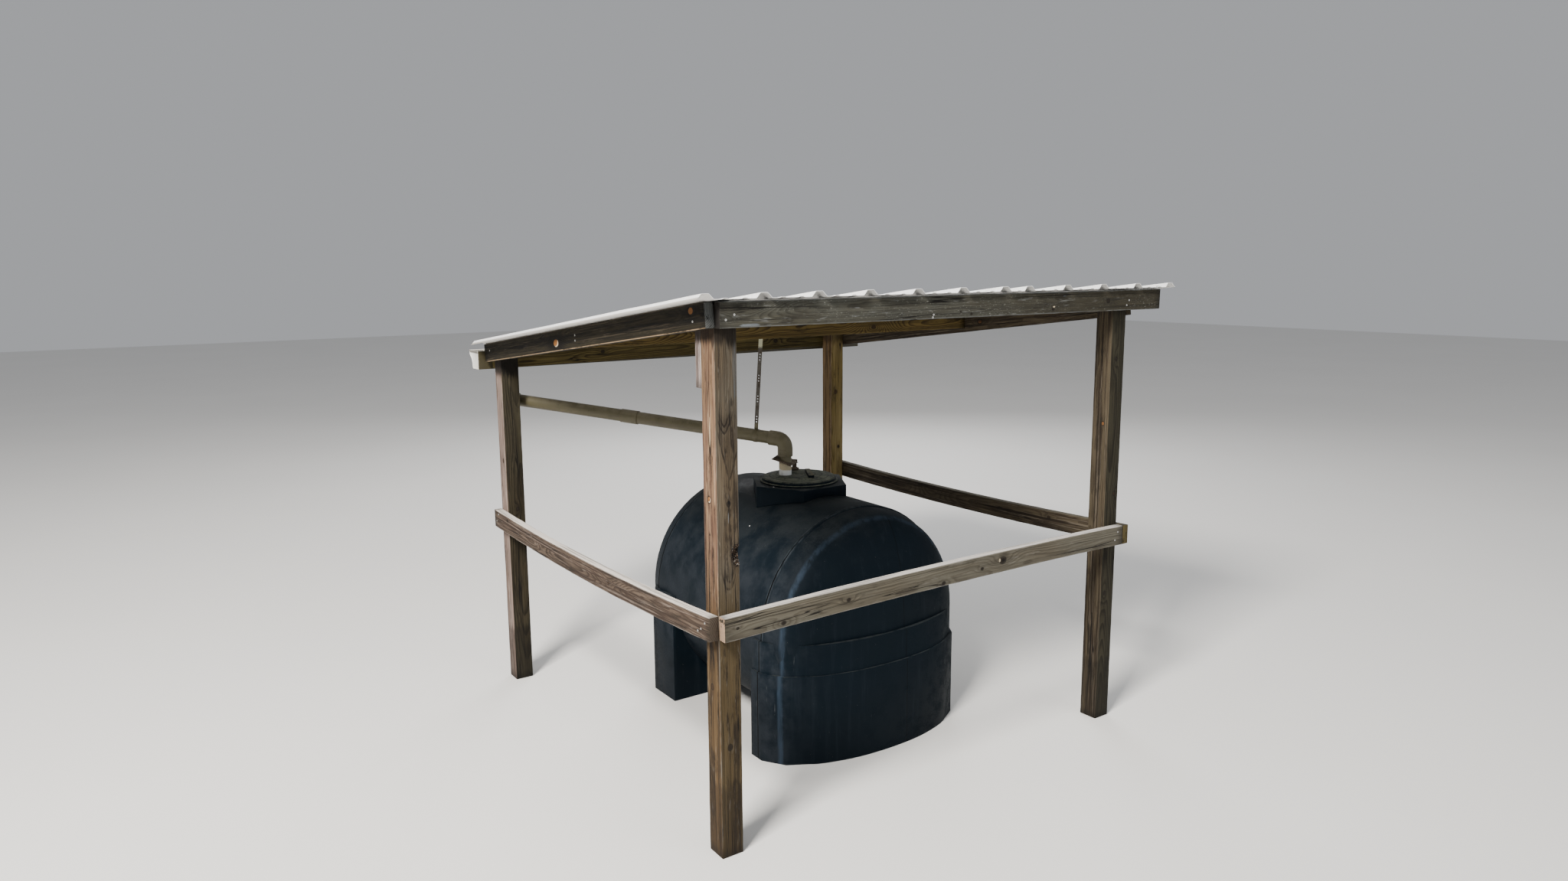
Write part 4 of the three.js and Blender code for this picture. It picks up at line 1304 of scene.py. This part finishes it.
# tank, in mm on the shelter: the seams and creases of its ends along Y, the parting line beside
# its middle, and white specks, each with its radius
tank = {"x": 1077, "seams": (583, 1507), "creases": (482, 1608), "parting": 90,
        "specks": [((892, 973, 1092), 4.5), ((746, 957, 931), 3.5), ((850, 555, 998), 3.5),
                   ((946, 458, 1033), 3.5)]}
lid = {"x": 1077, "y": 1029, "rings": 32}
tankTone = {"deep": (0.0018, 0.0044, 0.007), "blue": (0.0032, 0.0075, 0.012),
            "scuff": (0.02, 0.026, 0.034), "sunlitPatch": (0.026, 0.03, 0.037),
            "groove": (0.006, 0.007, 0.007), "scratch": (0.3, 0.3, 0.31),
            "speck": (0.26, 0.24, 0.21), "seamChalkAndHighlight": (0.05, 0.06, 0.07),
            "seam": (0.0006, 0.0008, 0.001), "creaseChalkAndHighlight": (0.035, 0.055, 0.085),
            "parting": (0.001, 0.0012, 0.0014), "white": (0.75, 0.75, 0.72)}
earthTone = {"shell": (0.036, 0.04, 0.041), "lid": (0.105, 0.112, 0.088),
             "grip": (0.09, 0.085, 0.06)}


def lidRings(g, colour, x, y, top):
    dx, dy = x - (corner.x + lid["x"] / 1000), y - (corner.y + lid["y"] / 1000)
    turn = g.fold("FRACT", (dx * dx + dy * dy) ** 0.5 * lid["rings"])
    groove = g.smooth(turn, 0.35, 0.5) * g.smooth(turn, 0.65, 0.5) * top
    return g.mix(groove * 0.55, colour, tankTone["groove"])


# lines of the mould: dark seams with chalk and a painted highlight beside them, creases with chalk
# and a painted highlight, and the parting line on the front
def mouldLines(g, colour, x, y, z, cloud, scuff):
    for seam in tank["seams"]:
        past = abs(y - (corner.y + seam / 1000))
        chalkAndHighlight = g.smooth(past, 0.011, 0.006) * g.smooth(scuff, 0.42, 0.6)
        colour = g.mix(chalkAndHighlight * 0.35, colour, tankTone["seamChalkAndHighlight"])
        shut = g.smooth(past, 0.0042, 0.003) * g.smooth(z, 1.05, 0.8, 0.35, 1)
        colour = g.mix(shut, colour, tankTone["seam"])
    for crease in tank["creases"]:
        # a chalky band along each crease, which is also a painted highlight, stronger low down
        past = abs(y + (cloud - 0.5) * 0.012 - (corner.y + crease / 1000))
        chalkAndHighlight = g.smooth(past, 0.014, 0.002) * g.smooth(scuff, 0.3, 0.6)
        chalkAndHighlight = chalkAndHighlight * g.smooth(z, 1.0, 0.75, 0.5, 1)
        colour = g.mix(chalkAndHighlight * 0.55, colour, tankTone["creaseChalkAndHighlight"])
    beside = abs(x - (corner.x + (tank["x"] + tank["parting"]) / 1000))
    front = g.smooth(g.facing()[1], -0.5, -0.8)
    return g.mix(g.smooth(beside, 0.0025, 0.001) * front * 0.8, colour, tankTone["parting"])


def tankMaterial(name, dustiness=0.35, chalk=0.5, seed=0.0, rings=False, earth="shell"):
    g = Graph(name)
    spot = g.spot()
    x, y, z = g.split(spot)
    broad = g.noise(g.vector(x * 2.2 + seed, y * 2.2, z * 2.2), 1, 3, 0.6)
    cloud = g.noise(spot, 7 + seed, 5, 0.65)
    speck = g.noise(spot, 120, 3, 0.7)
    peel = g.noise(spot, 380, 2)
    scuff = g.noise(g.vector(x * 30 + seed, y * 30, z * 2.2), 1, 4, 0.7)
    scratch = g.noise(g.vector(x * 120, y * 120, z * 5 + seed), 1, 3, 0.7)
    colour = g.mix(broad, tankTone["deep"], tankTone["blue"])
    colour = g.mix(g.smooth(scuff, 0.5, 0.74) * 0.2, colour, tankTone["scuff"])
    # the lower left of the tank is painted paler: painted sunlight
    sunlitPatch = g.smooth(g.facing()[0], -0.3, -0.95) * g.smooth(z, 1.0, 0.75) * 0.5
    colour = g.mix(sunlitPatch * g.smooth(cloud, 0.3, 0.7), colour, tankTone["sunlitPatch"])
    top = g.smooth(g.facing()[2], 0.35, 0.95)
    dust = g.smooth(cloud + top * 0.12 + (speck - 0.5) * 0.5, 0.42, 0.72)
    colour = g.mix(dust * (0.04 + dustiness * top), colour, earthTone[earth])
    if rings:
        colour = lidRings(g, colour, x, y, top)
    scratched = g.smooth(scratch, 0.69, 0.78) * g.smooth(broad, 0.48, 0.62)
    colour = g.mix(scratched * chalk * 0.6, colour, tankTone["scratch"])
    colour = g.mix(g.smooth(speck, 0.72, 0.78) * 0.5, colour, tankTone["speck"])
    colour = mouldLines(g, colour, x, y, z, cloud, scuff)
    for place, size in tank["specks"]:
        gap = g.node("VectorMath", {"operation": "DISTANCE"}, {0: spot, 1: atShelter(*place)},
                     output=1)
        white = g.smooth(gap, size / 1000, size * 0.7 / 1000)
        colour = g.mix(white, colour, tankTone["white"])
    rough = 0.5 + dust * 0.25 + scuff * 0.12
    return g.finish(colour, rough, peel * 0.3 + cloud, 0.12, 0.0015, Specular_IOR_Level=0.06)


def tankPieces():
    shell = tankMaterial("tank_shell")
    ends = tankMaterial("tank_end", seed=3.0)
    legs = tankMaterial("tank_leg", dustiness=0.5, chalk=0.9, seed=6.0)
    for node, material, width in (("tank_barrel", shell, 0.003), ("tank_front_end", ends, 0.003),
                                  ("tank_back_end", ends, 0.003), ("tank_front_leg", legs, 0.004),
                                  ("tank_back_leg", legs, 0.004)):
        remade(node, "_moulded", material, "tank_plastic", 30, width=width)


def lidPieces():
    dusty = tankMaterial("lid_dusty", dustiness=0.85, chalk=0.3, seed=9.0)
    ringed = tankMaterial("lid_ringed", dustiness=0.9, chalk=0.3, seed=9.0, rings=True,
                          earth="lid")
    worn = tankMaterial("grip_dusty", dustiness=2.0, chalk=0.1, seed=12.0, earth="grip")
    remade("manway_collar", "_moulded", dusty, "tank_plastic", 40, width=0.006, segments=3)
    remade("tank_lid", "_moulded", ringed, "tank_plastic", 30, width=0.0018, degrees=25)
    remade("lid_grip", "_moulded", worn, "tank_plastic", 40, width=0.004, segments=3)
    remade("lid_vent", "_moulded", rubberMaterial("vent_rubber"), "rubber_sheet", 35, width=0.001)


# floor
paper = {"pale": (0.78, 0.77, 0.75), "grey": (0.74, 0.73, 0.71)}


def studioFloor():
    nothingSelected()
    bpy.ops.mesh.primitive_plane_add(size=60, location=(0, 0, cadBox[0][2]))
    floor = bpy.context.object
    floor.name = "floor"
    g = Graph("floor_paper")
    soft = g.noise(g.spot(), 0.6, 2)
    floor.data.materials.append(g.finish(
        g.mix(soft, paper["grey"], paper["pale"]), 0.9 + soft * 0.05))


placeCamera()
placeLamps()
studioFloor()
print("boards")
sawnBoards()
print("roof")
roofSheets()
print("screws")
screwHeads()
roofScrews()
print("gutter and pipe")
gutterPieces()
pipePieces()
pipeShield()
hangerStrap()
print("tank")
tankPieces()
lidPieces()
